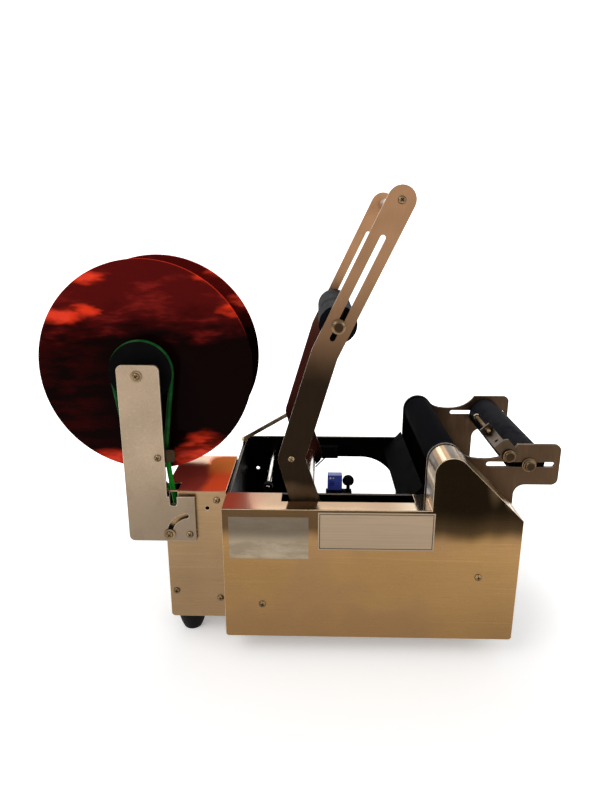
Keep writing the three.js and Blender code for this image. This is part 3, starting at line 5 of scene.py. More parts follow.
import bmesh
import bpy
from bpy.props import FloatProperty, FloatVectorProperty, IntProperty, PointerProperty
from bpy.types import Operator, Panel, PropertyGroup
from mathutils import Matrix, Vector

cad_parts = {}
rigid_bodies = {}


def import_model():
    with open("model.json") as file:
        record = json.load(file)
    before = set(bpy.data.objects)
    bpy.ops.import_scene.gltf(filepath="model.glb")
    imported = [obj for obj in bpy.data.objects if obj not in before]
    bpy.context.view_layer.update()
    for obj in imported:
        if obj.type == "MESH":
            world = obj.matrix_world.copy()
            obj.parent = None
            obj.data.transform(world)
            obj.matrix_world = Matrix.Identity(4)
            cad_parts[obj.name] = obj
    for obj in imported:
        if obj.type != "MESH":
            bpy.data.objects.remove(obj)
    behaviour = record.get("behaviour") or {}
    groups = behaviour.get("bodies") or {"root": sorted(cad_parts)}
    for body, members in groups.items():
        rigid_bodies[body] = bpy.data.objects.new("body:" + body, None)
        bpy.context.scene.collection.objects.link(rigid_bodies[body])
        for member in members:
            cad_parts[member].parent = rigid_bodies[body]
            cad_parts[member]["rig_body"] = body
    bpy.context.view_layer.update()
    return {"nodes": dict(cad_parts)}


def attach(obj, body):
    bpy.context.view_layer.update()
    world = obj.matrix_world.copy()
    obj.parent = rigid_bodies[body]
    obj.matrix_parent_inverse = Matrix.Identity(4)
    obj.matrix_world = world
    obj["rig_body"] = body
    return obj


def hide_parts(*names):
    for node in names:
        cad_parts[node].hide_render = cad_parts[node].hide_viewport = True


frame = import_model()

bl_info = {
    "name": "Bottle Labelling Machine",
    "version": (1, 0, 0),
    "blender": (4, 5, 0),
    "location": "View3D > Sidebar > Labeller",
    "description": "Finishes and finer pieces of a bench-top bottle labelling machine",
    "category": "Object",
}

MM = 0.001

# Axle lines of the turned pieces, in millimetres across (X) and up (Z)
DRIVE_AXLE = (321.0, 250.0)
IDLER_AXLE = (422.0, 245.3)
TRACTION_AXLE = (339.0, 112.0)
LEVER_AXLE = (157.0, 186.0)
PRESS_AXLE = (189.15, 414.62)
HANDLE_AXLE = (253.5, 549.0)
ELBOW = (136.0, 256.0)
REEL_AXLE = (-43.5, 355.0)
REEL_DRIVE_AXLE = (9.0, 152.6)
GUIDE_PINS = ((-13.0, 257.0), (-58.0, 255.0))
GUIDE_ROD_LINE = (101.0, 183.0)
SENSOR_RAIL_LINE = (196.0, 165.0)
STOP_BOLT_LINE = (396.0, 258.0)
STOP_SCREW_LINE = (380.9, 274.8)

# Upright or sideways axes, by their other two places in millimetres
FEET = ((0.0, 0.0), (87.0, 169.0), (383.0, 6.0), (383.0, 169.0))
SENSOR_KNOB_AXIS = (208.2, 34.0)
SPEED_KNOB_AXIS = (34.0, 178.0)

# Places along Y, in millimetres
COVER_FRONT = -66.0
NEAR_ARM_FACE = -36.3
BELT_PLANE = -9.0
ROLLERS_START = -11.7
ROLLERS_END = 186.0
FAR_PLATE_BACK = 194.3

# Bores and radii that more than one piece shares, in millimetres
REEL_RADIUS = 131.0
REEL_BORE = 6.3
ROLLER_BORE = 5.3
REEL_TRACK = 36.0
DRIVE_TRACK = 15.0
BELT_RADIUS = 2.6
SLEEVE_RADIUS = 20.0

# Levels of the two polished tops, in millimetres up
LEDGE_TOP = 205.0
BOX_TOP = 208.0

# Welding a CAD node's loose triangles: the distance in metres, and what still counts as flat
WELD_DISTANCE = 2e-6
FLAT_ANGLE = math.radians(0.6)

# Degrees past which an edge is broken and shaded sharp, unless a piece says otherwise
SHARP = 32.0

CAMERA_PLACE = (0.1629, -0.716, 0.52866)
LAMP_AIM = Vector((0.14, 0.06, 0.22))


def colour(name, description, default):
    return FloatVectorProperty(name=name, description=description, default=default, subtype="COLOR", size=3)


def length(name, description, default, least=0.0):
    """A length, with its default and its least value in millimetres."""
    least, default = least * MM, default * MM
    return FloatProperty(name=name, description=description, default=default, min=least, unit="LENGTH")


def strength(name, description, default):
    return FloatProperty(name=name, description=description, default=default, min=0.0)


def lean(name, description, degrees):
    return FloatProperty(name=name, description=description, default=math.radians(degrees), unit="ROTATION")


class StudioSettings(PropertyGroup):
    """Backdrop, lamps and camera."""

    lens: FloatProperty(name="Lens", description="Focal length in millimetres", default=27.65, min=10.0)
    pitch: lean("Pitch", "How far the camera looks down", 16.33)
    yaw: lean("Yaw", "How far the camera looks to the left", 1.4)
    key_power: strength("Key Power", "Main lamp, in watts", 9.0)
    fill_power: strength("Fill Power", "Side lamp, in watts", 4.0)
    back_power: strength("Back Power", "Lamp behind, in watts", 5.0)
    strip_power: strength("Strip Power", "Thin lamp for the rollers' sheen, in watts", 0.5)
    surround: strength("Surround", "Strength of the pale room", 0.56)
    floor_colour: colour("Floor", "Floor and backdrop", (0.93, 0.93, 0.925))


class SteelSettings(PropertyGroup):
    """Colours and broken edges of the metal."""

    casing_colour: colour("Cover", "Polished drive cover", (0.300, 0.172, 0.066))
    # Painted shade on the cover's front, below the ledge beside the roller hump
    casing_shade: colour("Cover Shade", "Cover where it darkens", (0.0070, 0.0042, 0.0020))
    box_colour: colour("Box", "Polished control box", (0.300, 0.192, 0.100))
    arm_colour: colour("Arms", "Upper ends of the lever's arms", (0.325, 0.178, 0.092))
    # Painted shade on the lower ends of the arms
    arm_shade: colour("Arm Shade", "Lower ends of the lever's arms", (0.0110, 0.0060, 0.0026))
    plate_colour: colour("Plates", "Wings of the side plates", (0.060, 0.034, 0.018))
    # Painted shade on the inner faces of the side plates
    plate_shade: colour("Plate Shade", "Inner faces of the side plates", (0.0045, 0.0028, 0.0018))
    bracket_colour: colour("Bracket", "Reel bracket", (0.330, 0.245, 0.165))
    bright_colour: colour("Bright Steel", "Shafts and axles", (0.44, 0.36, 0.27))
    screw_colour: colour("Screws", "Screws and washers", (0.230, 0.155, 0.085))
    edge: length("Edge", "Width of the broken edges", 0.35)


class RollerSettings(PropertyGroup):
    """Rollers between the plates."""

    segments: IntProperty(name="Segments", description="Faces round a roller", default=96, min=24)
    knurl_pitch: length("Grip Pitch", "Spacing of the grip pattern", 2.4, 0.5)
    rubber_colour: colour("Rubber", "Roller rubber", (0.0035, 0.0033, 0.0045))
    edge: length("End Edge", "Rounding at a roller's ends", 1.0)


class ReelSettings(PropertyGroup):
    """Discs, pulleys and belt of the label reel."""

    # At full strength this is the painted light on the disc's top
    disc_colour: colour("Disc", "Acrylic near its top", (0.084, 0.0046, 0.0040))
    # Colour of the painted glow patches and the painted glow along the disc's rim
    glow_colour: colour("Disc Glow", "Acrylic where light gathers", (0.80, 0.040, 0.012))
    belt_colour: colour("Belt", "Round drive belt", (0.0015, 0.046, 0.006))
    belt_radius: length("Belt Radius", "Radius of the round belt", 3.1, 0.5)
    segments: IntProperty(name="Segments", description="Faces round a disc", default=160, min=32)


class ScrewSettings(PropertyGroup):
    """Button-head screws with a cross recess."""

    head_radius: length("Head Radius", "Radius of a screw's head", 4.4, 1.0)
    head_height: length("Head Height", "Height of a screw's head", 2.5, 0.5)
    recess_width: length("Recess Width", "Width of the cross's bars", 1.1, 0.2)
    seed: IntProperty(name="Seed", description="Chooses how far each screw is turned", default=4)


class LabellerSettings(PropertyGroup):
    """All the machine's settings."""

    studio: PointerProperty(type=StudioSettings)
    steel: PointerProperty(type=SteelSettings)
    rollers: PointerProperty(type=RollerSettings)
    reel: PointerProperty(type=ReelSettings)
    screws: PointerProperty(type=ScrewSettings)


def is_socket(value):
    return isinstance(value, bpy.types.NodeSocket)


def put(tree, kind, inputs=None, **settings):
    """Adds a node; an input that is a socket is linked, and any other value is set. Gives its outputs."""
    made = tree.nodes.new(kind)
    for key, value in settings.items():
        setattr(made, key, value)
    for key, value in (inputs or {}).items():
        if is_socket(value):
            tree.links.new(value, made.inputs[key])
        else:
            made.inputs[key].default_value = value
    return made.outputs


def joined(kind, inputs, **settings):
    """Adds a node to the tree that its linked inputs belong to, and gives its outputs."""
    tree = next(value.id_data for value in inputs.values() if is_socket(value))
    return put(tree, kind, inputs, **settings)


def maths(operation, *values):
    return joined("ShaderNodeMath", dict(enumerate(values)), operation=operation)[0]


def vector_maths(operation, *values):
    return joined("ShaderNodeVectorMath", dict(enumerate(values)), operation=operation)


def times(first, *others):
    for share in others:
        first = maths("MULTIPLY", first, share)
    return first


def rest_of(share):
    """What a share leaves of one."""
    return maths("SUBTRACT", 1.0, share)


def ramp(value, low, high, out_low=0.0, out_high=1.0):
    inputs = dict(enumerate((value, low, high, out_low, out_high)))
    return joined("ShaderNodeMapRange", inputs, interpolation_type="SMOOTHSTEP")[0]


def blended(share, first, second):
    """The first colour, and the second where the share is one."""
    first, second = (value if is_socket(value) else (*value, 1.0) for value in (first, second))
    return joined("ShaderNodeMix", {0: share, 6: first, 7: second}, data_type="RGBA")[2]


def noise(where, scale, detail=3.0, roughness=0.55):
    inputs = {"Vector": where, "Scale": scale, "Detail": detail, "Roughness": roughness}
    return joined("ShaderNodeTexNoise", inputs)[0]


def stretched(where, *scales):
    return joined("ShaderNodeMapping", {0: where, "Scale": scales})[0]


def axes(where):
    return joined("ShaderNodeSeparateXYZ", {0: where})


def wavered(value, soft, reach):
    """The value, moved up and down within a reach by a soft noise."""
    return maths("ADD", value, times(maths("SUBTRACT", soft, 0.5), reach))


def scaled(tone, share, plus=0.0):
    return tuple(min(1.0, channel * share + plus) for channel in tone)


def grouped(name, *values):
    return joined("ShaderNodeGroup", dict(enumerate(values)), node_tree=bpy.data.node_groups[name])


def make_group(kind, fill, inputs, outputs):
    """A node group, named for the function that fills it from its inputs to its outputs."""
    group = bpy.data.node_groups.new(fill.__name__, kind)
    for way, sockets in (("INPUT", inputs), ("OUTPUT", outputs)):
        for socket, socket_kind in sockets.items():
            group.interface.new_socket(socket, in_out=way, socket_type="NodeSocket" + socket_kind)
    start, end = group.nodes.new("NodeGroupInput"), group.nodes.new("NodeGroupOutput")
    results = fill(*start.outputs[:len(inputs)])
    for result, socket in zip(results, end.inputs):
        group.links.new(result, socket)


def brushed_grain(position, stretch, cloud_scale):
    """Fine lines, long scratches and broad clouds of brushed sheet."""
    drawn = vector_maths("MULTIPLY", position, stretch)[0]
    scratches = ramp(noise(drawn, 0.37, 1.0, 0.4), 0.64, 0.70)
    clouds = ramp(noise(position, cloud_scale, 2.0, 0.5), 0.32, 0.68)
    return noise(drawn, 1.0, 4.0, 0.7), scratches, clouds


def handling_marks(position, smudge_scale, dust_scale):
    """Smudges and fine dust left by handling."""
    smudges = ramp(noise(position, smudge_scale, 4.0, 0.6), 0.45, 0.7)
    return smudges, ramp(noise(position, dust_scale, 2.0, 0.8), 0.6, 0.74)


def wrapped_place(position, axle_x, axle_z, radius):
    """Unrolls a surface round an axle along Y: distance round, distance along and radius."""
    x, y, z = axes(position)
    across, up = maths("SUBTRACT", x, axle_x), maths("SUBTRACT", z, axle_z)
    squares = maths("ADD", times(across, across), times(up, up))
    return times(maths("ARCTAN2", up, across), radius), y, maths("SQRT", squares)


def soft_patch(position, centre, reach):
    """A soft oval patch: one at its centre, and nothing past its reach."""
    shared = vector_maths("DIVIDE", vector_maths("SUBTRACT", position, centre)[0], reach)[0]
    return (ramp(vector_maths("LENGTH", shared)["Value"], 0.25, 1.0, 1.0, 0.0),)


def painted(geometry, finish):
    """Turns instances into plain geometry and gives it its finish."""
    plain = joined("GeometryNodeRealizeInstances", {0: geometry})[0]
    return joined("GeometryNodeSetMaterial", {"Geometry": plain, "Material": finish})[0]


def round_sweep(path, radius, sides, step, finish):
    """Sweeps a round section along a path."""
    curve = joined("GeometryNodeMeshToCurve", {0: path})[0]
    curve = joined("GeometryNodeCurveSplineType", {0: curve}, spline_type="CATMULL_ROM")[0]
    even = joined("GeometryNodeResampleCurve", {"Curve": curve, "Length": step}, mode="LENGTH")[0]
    ring = joined("GeometryNodeCurvePrimitiveCircle", {"Resolution": sides, "Radius": radius})[0]
    swept = joined("GeometryNodeCurveToMesh", {"Curve": even, "Profile Curve": ring, "Fill Caps": True})[0]
    return (painted(joined("GeometryNodeSetShadeSmooth", {"Geometry": swept})[0], finish),)


def set_on_points(points, piece, facing, twist, seed, finish):
    """Sets one piece on every point, turned to a facing and twisted by chance."""
    chance = joined("FunctionNodeRandomValue", {2: 0.0, 3: twist, "Seed": seed}, data_type="FLOAT")[1]
    twisted = joined("ShaderNodeCombineXYZ", {2: chance})[0]
    turns = [joined("FunctionNodeEulerToRotation", {0: angles})[0] for angles in (facing, twisted)]
    turn = joined("FunctionNodeRotateRotation", dict(enumerate(turns)), rotation_space="LOCAL")[0]
    shape = joined("GeometryNodeObjectInfo", {"Object": piece})["Geometry"]
    inputs = {"Points": points, "Instance": shape, "Rotation": turn}
    return (painted(joined("GeometryNodeInstanceOnPoints", inputs)[0], finish),)


def make_groups():
    """Builds the shader groups and the geometry trees that the pieces share."""
    for fill, inputs, outputs in (
        (brushed_grain, {"Stretch": "Vector", "Cloud Scale": "Float"}, ("Lines", "Scratches", "Clouds")),
        (handling_marks, {"Smudge Scale": "Float", "Dust Scale": "Float"}, ("Smudges", "Dust")),
        (
            wrapped_place, {"Axle X": "Float", "Axle Z": "Float", "Radius": "Float"},
            ("Round", "Along", "Outward"),
        ),
        (soft_patch, {"Centre": "Vector", "Reach": "Vector"}, ("Patch",)),
    ):
        make_group("ShaderNodeTree", fill, {"Position": "Vector", **inputs}, dict.fromkeys(outputs, "Float"))
    sweep = {"Path": "Geometry", "Radius": "Float", "Sides": "Int", "Step": "Float"}
    scatter = {"Points": "Geometry", "Piece": "Object", "Facing": "Vector", "Twist": "Float", "Seed": "Int"}
    for fill, inputs in ((round_sweep, sweep), (set_on_points, scatter)):
        make_group("GeometryNodeTree", fill, {**inputs, "Finish": "Material"}, {"Geometry": "Geometry"})


class Finish:
    """A material in the making, whose tone is laid down one layer over another."""

    def __init__(self, name, tone=None):
        self.made = bpy.data.materials.new(name)
        self.made.use_nodes = True
        self.tree = self.made.node_tree
        self.inputs = self.tree.nodes["Principled BSDF"].inputs
        self.where = put(self.tree, "ShaderNodeTexCoord")["Object"]
        self.tone = tone

    def feed(self, name, value):
        """Links a value that changes over the surface, and sets one that doesn't."""
        if is_socket(value):
            self.tree.links.new(value, self.inputs[name])
        else:
            self.inputs[name].default_value = value

    def lay(self, *layers):
        """Covers the tone with each colour where its share says."""
        for share, tone in layers:
            self.tone = blended(share, self.tone, tone)
        self.feed("Base Color", self.tone)

    def marks(self, smudge_scale, dust_scale):
        return grouped("handling_marks", self.where, smudge_scale, dust_scale)

    def wrapped(self, axle, radius):
        return grouped("wrapped_place", self.where, axle[0] * MM, axle[1] * MM, radius)

    def bump(self, height, distance, share):
        """Raises the surface by a height whose full distance is in millimetres."""
        inputs = {"Height": height, "Distance": distance * MM, "Strength": share}
        self.feed("Normal", joined("ShaderNodeBump", inputs)[0])


def patches(where, places):
    """The strongest of several soft patches, each a centre and a reach across and up in millimetres."""
    best = None
    for x, z, across, up in places:
        patch = grouped("soft_patch", where, (x * MM, 0.0, z * MM), (across * MM, 1.0, up * MM))[0]
        best = patch if best is None else maths("MAXIMUM", best, patch)
    return best


# In the finishes, places and levels are in metres, along the frame's own axes


def brushed_metal(name, tone, stretch, cloud_scale, roughness, metallic=1.0, shade_share=0.3):
    """Sheet with brushed lines, clouded tone, smudges and a few scratches."""
    dark = scaled(tone, 1.0 - shade_share)
    finish = Finish(name, dark)
    grain = grouped("brushed_grain", finish.where, stretch, cloud_scale)
    marks = finish.marks(26.0, 900.0)
    finish.lay(
        (grain["Clouds"], scaled(tone, 1.12)),
        (times(ramp(grain["Lines"], 0.3, 0.7), 0.26), scaled(tone, 0.72)),
        (times(grain["Scratches"], 0.14), scaled(tone, 1.5)),
        (times(marks["Dust"], 0.12), dark),
    )
    finish.feed("Metallic", metallic)
    rough = ramp(grain["Lines"], 0.25, 0.75, roughness - 0.07, roughness + 0.09)
    finish.rough = maths("ADD", rough, times(marks["Smudges"], 0.10))
    finish.feed("Roughness", finish.rough)
    finish.bump(grain["Lines"], 0.03, 0.5)
    return finish


def level_share(height, level):
    """One on the sheet whose top is at the level, and nothing below or well above it."""
    below = ramp(height, level - 0.0008, level - 0.0003)
    return times(below, ramp(height, level + 0.0008, level + 0.0016, 1.0, 0.0))


def tinted_top(finish, top, painted_reflection, full):
    """Polishes a level top nearly to a mirror, but leaves its painted reflection matt."""
    finish.feed("Metallic", ramp(painted_reflection, 0.0, full, 0.97, 0.0))
    finish.feed("Specular IOR Level", 0.03)
    polish = times(top, rest_of(painted_reflection), 0.72)
    finish.feed("Roughness", times(maths("MAXIMUM", finish.rough, painted_reflection), rest_of(polish)))


def cover_finish(steel):
    """Polished cover: golden tan sheet with painted shade that darkens it towards the bottom, below the ledge
    and beside the roller hump, painted reflection stripes over the hump, painted highlights on its front and
    ledge, and a painted reflection of the red disc on the ledge.
    """
    cover = brushed_metal("polished_cover", steel.casing_colour, (14.0, 14.0, 900.0), 5.0, 0.27, 0.97, 0.12)
    x, y, z = axes(cover.where)
    soft = noise(stretched(cover.where, 24.0, 5.0, 5.0), 1.0, 2.0)
    cool = noise(cover.where, 11.0, 2.0)
    height = wavered(z, soft, 0.016)
    front = ramp(y, -0.0640, -0.0655)
    behind = rest_of(front)
    right = ramp(x, 0.25, 0.31)
    hump = ramp(z, 0.2105, 0.2200)
    # Painted reflection: stripes round the hump, by the angle about the drive axle
    reflection_bands = maths("SINE", times(cover.wrapped(DRIVE_AXLE, 1.0)["Round"], 5.2))
    # Soft patches of painted highlight on the cover's front
    painted_light_patches = patches(cover.where, ((372.0, 262.0, 14.0, 60.0), (392.0, 224.0, 12.0, 22.0)))
    ledge = times(behind, level_share(z, LEDGE_TOP * MM))
    # Painted reflection of the red disc on the left of the ledge
    red_reflection_share = 0.85
    painted_red_reflection = times(ledge, ramp(wavered(x, soft, 0.05), 0.110, 0.060), red_reflection_share)
    cover.lay(
        (ramp(cool, 0.42, 0.62, 0.0, 0.55), (0.262, 0.150, 0.074)),
        # Painted shade towards the bottom
        (times(ramp(height, 0.085, 0.045), 0.22), (0.20, 0.115, 0.045)),
        # Painted shade below the ledge, darkest on the right beside the hump
        (times(ramp(height, 0.162, 0.182), front, 0.80), (0.030, 0.018, 0.009)),
        (times(ramp(height, 0.150, 0.210), right, front, 0.99), steel.casing_shade),
        # Painted highlights on the front
        (times(painted_light_patches, front, 0.22), (0.30, 0.19, 0.10)),
        # Painted reflection: dark and pale stripes over the hump's top
        (times(ramp(reflection_bands, 0.05, 0.75), behind, hump, 0.88), (0.030, 0.020, 0.012)),
        (times(ramp(reflection_bands, -0.62, -0.95), behind, hump, 0.8), (0.74, 0.60, 0.42)),
        # Painted reflection on the ledge: a brighter top, the red disc on its left and a pale highlight on
        # its right
        (times(ledge, 0.75), (0.35, 0.23, 0.14)),
        (painted_red_reflection, (0.36, 0.026, 0.013)),
        (times(ledge, ramp(x, 0.245, 0.290), 0.7), (0.58, 0.47, 0.35)),
    )
    tinted_top(cover, ledge, painted_red_reflection, red_reflection_share)
    return cover


def box_finish(steel):
    """Polished control box, with a painted reflection of the pale room and the red disc on its top."""
    box = brushed_metal("polished_box", steel.box_colour, (14.0, 14.0, 700.0), 8.0, 0.30, 0.97, 0.12)
    x, y, z = axes(box.where)
    top = level_share(z, BOX_TOP * MM)
    soft = noise(stretched(box.where, 22.0, 13.0, 1.0), 1.0, 2.0)
    across, deep = wavered(x, soft, 0.03), wavered(y, soft, 0.03)
    # Painted reflections of the red disc on the top
    painted_disc_reflection = times(top, ramp(deep, 0.085, 0.055))
    painted_orange_reflection = times(top, ramp(across, 0.018, 0.032), ramp(deep, 0.110, 0.080))
    box.lay(
        # Painted reflection: the pale room brightens the top, and the red disc shows on it in red and
        # brighter red
        (times(top, 0.8), (0.60, 0.42, 0.27)),
        (times(painted_disc_reflection, 0.95), (0.24, 0.012, 0.009)),
        (times(painted_orange_reflection, 0.95), (0.74, 0.075, 0.020)),
        (times(painted_orange_reflection, ramp(deep, 0.015, 0.060), 0.85), (0.80, 0.22, 0.045)),
    )
    tinted_top(box, top, maths("MAXIMUM", painted_disc_reflection, painted_orange_reflection), 1.0)
    return box


def arm_finish(steel):
    """Brushed arms with painted light and shade: pale at the handle, darkening to brown below the press
    roller, the far arm paler at its top and reddish lower down, and the near arm a little brighter at its
    foot.
    """
    arm = brushed_metal("brushed_arms", steel.arm_colour, (420.0, 40.0, 34.0), 12.0, 0.36, 0.95, 0.2)
    _, y, z = axes(arm.where)
    height = wavered(z, noise(arm.where, 16.0, 2.0), 0.03)
    far = ramp(y, 0.10, 0.15)
    # Painted light and shade by height, and a brighter foot on the near arm
    arm.lay(
        (ramp(height, 0.490, 0.415), scaled(steel.arm_colour, 0.48)),
        (ramp(height, 0.425, 0.345, 0.0, 0.985), steel.arm_shade),
        (times(far, ramp(height, 0.40, 0.46), 0.8), scaled(steel.arm_colour, 1.35)),
        (times(far, ramp(height, 0.44, 0.37), 0.8), (0.052, 0.010, 0.007)),
        (times(ramp(height, 0.232, 0.205), ramp(y, 0.10, 0.05), 0.5), (0.19, 0.115, 0.062)),
    )
    return arm


def plate_finish(steel):
    """Side plates: brown wings, painted shade on the dark inner faces, and tan outer faces."""
    plate = brushed_metal("brushed_plates", steel.plate_colour, (420.0, 40.0, 30.0), 9.0, 0.38, 0.95, 0.25)
    x, y, _ = axes(plate.where)
    outer = scaled(steel.box_colour, 0.8)
    plate.lay(
        # Painted shade on the inner faces, between the plates
        (times(ramp(x, 0.385, 0.31), ramp(y, 0.1932, 0.1924)), steel.plate_shade),
        (ramp(y, 0.1926, 0.1934), outer),
        (ramp(x, 0.0556, 0.0552), outer),
    )
    return plate


def bracket_finish(steel):
    """Bead-blasted bracket, a little darker towards its foot."""
    bracket = brushed_metal("bracket_sheet", steel.bracket_colour, (520.0,) * 3, 9.0, 0.44, 0.8, 0.16)
    foot = ramp(axes(bracket.where)[2], 0.280, 0.170, 0.0, 0.9)
    bracket.lay((foot, scaled(steel.bracket_colour, 0.66)))
    return bracket


def smooth_black(name, tone, roughness, dust_share, grain_scale, bump, sheen):
    """Moulded or rubber black with dust, smudges and a fine surface grain."""
    finish = Finish(name, tone)
    marks = finish.marks(38.0, 1500.0)
    finish.lay(
        (times(marks["Smudges"], 0.4), scaled(tone, 2.2, 0.002)),
        (times(marks["Dust"], dust_share), (0.060, 0.055, 0.055)),
    )
    finish.feed("Roughness", ramp(marks["Smudges"], 0.0, 1.0, roughness, roughness + 0.14))
    finish.feed("Specular IOR Level", sheen)
    finish.bump(noise(finish.where, grain_scale, 3.0, 0.6), bump, 0.6)
    return finish


def grip_rubber(tone, pitch, axle, radius):
    """Rubber with a raised diamond grip round an axle; the pitch and the radius are in metres."""
    grip = Finish("grip_rubber", tone)
    wrap = grip.wrapped(axle, radius)
    marks = grip.marks(30.0, 1300.0)
    rate = round(2.0 * math.pi * radius / pitch) / radius
    slopes = [maths(way, wrap["Round"], wrap["Along"]) for way in ("ADD", "SUBTRACT")]
    ridges = [maths("SINE", times(slope, rate / 2.0)) for slope in slopes]
    raised = ramp(maths("ABSOLUTE", times(*ridges)), 0.12, 0.75)
    worn = times(raised, ramp(noise(grip.where, 60.0, 4.0, 0.7), 0.35, 0.75, 0.15, 0.75))
    grip.lay((worn, (0.007, 0.0065, 0.007)), (times(marks["Dust"], 0.35), (0.028, 0.027, 0.034)))
    grip.feed("Specular IOR Level", 0.01)
    grip.feed("Roughness", ramp(raised, 0.0, 1.0, 0.95, 0.80))
    grip.bump(raised, 0.5, 1.0)
    return grip


# Painted glow patches on the discs, where light would gather: centre and reach, across and up, in millimetres
PAINTED_GLOW_PATCHES = (
    (-142.0, 418.0, 34.0, 13.0), (-112.0, 424.0, 18.0, 10.0), (-104.0, 463.0, 30.0, 10.0),
    (36.0, 464.0, 26.0, 9.0), (64.0, 427.0, 24.0, 9.0), (26.0, 253.0, 36.0, 25.0), (4.0, 238.0, 30.0, 16.0),
    (-84.0, 238.0, 58.0, 15.0),
)


def disc_acrylic(reel):
    """Deep red acrylic, nearly black round the hub, with painted light: brighter at its top and on its left,
    with painted reflection stripes, painted glow patches near its rim and a painted glow along the rim.
    """
    disc = Finish("red_acrylic_disc", scaled(reel.disc_colour, 0.045, 0.0006))
    x, _, z = axes(disc.where)
    drawn = stretched(disc.where, 9.0, 1.0, 30.0)
    # Stripes that shape the painted light
    reflection_streaks = noise(drawn, 1.7, 3.0, 0.6)
    # Painted light: brighter towards the top, and on the left in stripes
    upper = ramp(wavered(z, reflection_streaks, 0.10), 0.385, 0.440)
    side = times(ramp(x, -0.070, -0.130), ramp(reflection_streaks, 0.4, 0.6))
    tear = Vector((0.050, 0.0, 0.014))
    chance = joined("ShaderNodeTexNoise", {"Vector": drawn, "Scale": 3.1, "Detail": 3.0})["Color"]
    torn = vector_maths("MULTIPLY_ADD", chance, tear, vector_maths("SUBTRACT", disc.where, tear / 2.0)[0])[0]
    # Painted glow: soft patches near the rim
    glow = times(patches(torn, PAINTED_GLOW_PATCHES), ramp(reflection_streaks, 0.34, 0.56, 0.12, 1.0))
    # Painted glow along the rim
    rim = ramp(disc.wrapped(REEL_AXLE, REEL_RADIUS * MM)["Outward"], 0.1302, 0.1307)
    disc.lay(
        (side, scaled(reel.disc_colour, 0.26)),
        (upper, reel.disc_colour),
        # Painted reflection stripes over the top
        (times(upper, ramp(reflection_streaks, 0.52, 0.70)), (0.20, 0.012, 0.009)),
        (glow, reel.glow_colour),
        (times(rim, upper, 0.5), reel.glow_colour),
    )
    smudged = ramp(disc.marks(22.0, 700.0)["Smudges"], 0.0, 1.0, 0.12, 0.26)
    disc.feed("Roughness", maths("MAXIMUM", smudged, rim))
    disc.feed("Alpha", ramp(glow, 0.0, 1.0, 0.999, 0.93))
    disc.feed("Specular IOR Level", 0.01)
    disc.bump(noise(disc.where, 9.0, 2.0), 0.25, 0.5)
    return disc


def belt_finish(tone):
    """Moulded round belt with a matt, slightly rubbed skin, and painted light that makes it brighter where it
    nears the drive pulley.
    """
    belt = Finish("green_belt_skin", tone)
    marks = belt.marks(55.0, 1800.0)
    belt.lay(
        (times(marks["Smudges"], 0.5), scaled(tone, 2.1, 0.02)),
        # Painted light: brighter towards the bottom
        (ramp(axes(belt.where)[2], 0.262, 0.225, 0.0, 0.85), (0.006, 0.250, 0.014)),
    )
    belt.feed("Specular IOR Level", 0.06)
    belt.feed("Roughness", ramp(marks["Dust"], 0.0, 1.0, 0.42, 0.7))
    belt.bump(noise(belt.where, 1500.0, 2.0), 0.05, 0.6)
    return belt


def foil_finish():
    """Silver label with small creases, a slight yellowing, and painted shade along its top."""
    foil = Finish("foil_label", (0.235, 0.180, 0.115))
    crease = noise(stretched(foil.where, 22.0, 1.0, 60.0), 1.0, 5.0, 0.7)
    height = wavered(axes(foil.where)[2], crease, 0.02)
    foil.lay(
        (ramp(crease, 0.35, 0.7), (0.36, 0.29, 0.205)),
        # Painted shade along the top
        (ramp(height, 0.160, 0.178, 0.0, 0.78), (0.075, 0.055, 0.036)),
        (times(foil.marks(30.0, 1100.0)["Dust"], 0.4), (0.30, 0.24, 0.17)),
    )
    foil.feed("Metallic", 0.72)
    foil.feed("Roughness", ramp(crease, 0.3, 0.7, 0.28, 0.40))
    foil.bump(crease, 0.10, 0.6)
    return foil


def printed_finish(name, tone, roughness):
    """Satin printed metal with faint handling marks."""
    printed = Finish(name, scaled(tone, 0.86))
    smudges = printed.marks(24.0, 900.0)["Smudges"]
    soft = noise(stretched(printed.where, 9.0, 9.0, 900.0), 1.0, 3.0)
    printed.lay((ramp(soft, 0.3, 0.7), tone), (times(smudges, 0.16), (0.36, 0.27, 0.18)))
    printed.feed("Metallic", 0.25)
    printed.feed("Roughness", ramp(smudges, 0.0, 1.0, roughness, roughness + 0.12))
    printed.bump(soft, 0.02, 0.5)
    return printed


def blue_finish():
    """Blue moulded housing with a soft sheen and rubbed dust."""
    blue = Finish("blue_housing", (0.030, 0.048, 0.30))
    marks = blue.marks(90.0, 2200.0)
    blue.lay(
        (times(marks["Smudges"], 0.5), (0.055, 0.085, 0.42)),
        (times(marks["Dust"], 0.3), (0.42, 0.44, 0.55)),
    )
    blue.feed("Roughness", ramp(marks["Smudges"], 0.0, 1.0, 0.34, 0.5))
    blue.bump(noise(blue.where, 1900.0, 2.0), 0.03, 0.6)
    return blue


# Each finish's material, and the record's slot that it stands for
FINISHES = {}


def linked(name, data):
    """A new object of the data, in the scene."""
    made = bpy.data.objects.new(name, data)
    bpy.context.scene.collection.objects.link(made)
    return made


def object_of(name, shape):
    """A new object of a bmesh, in the scene."""
    mesh = bpy.data.meshes.new(name)
    shape.to_mesh(mesh)
    shape.free()
    return linked(name, mesh)


def smoothed(mesh, sharp=180.0):
    """Shades a mesh smooth, but for edges sharper than an angle in degrees."""
    mesh.polygons.foreach_set("use_smooth", [True] * len(mesh.polygons))
    mesh.set_sharp_from_angle(angle=math.radians(sharp))


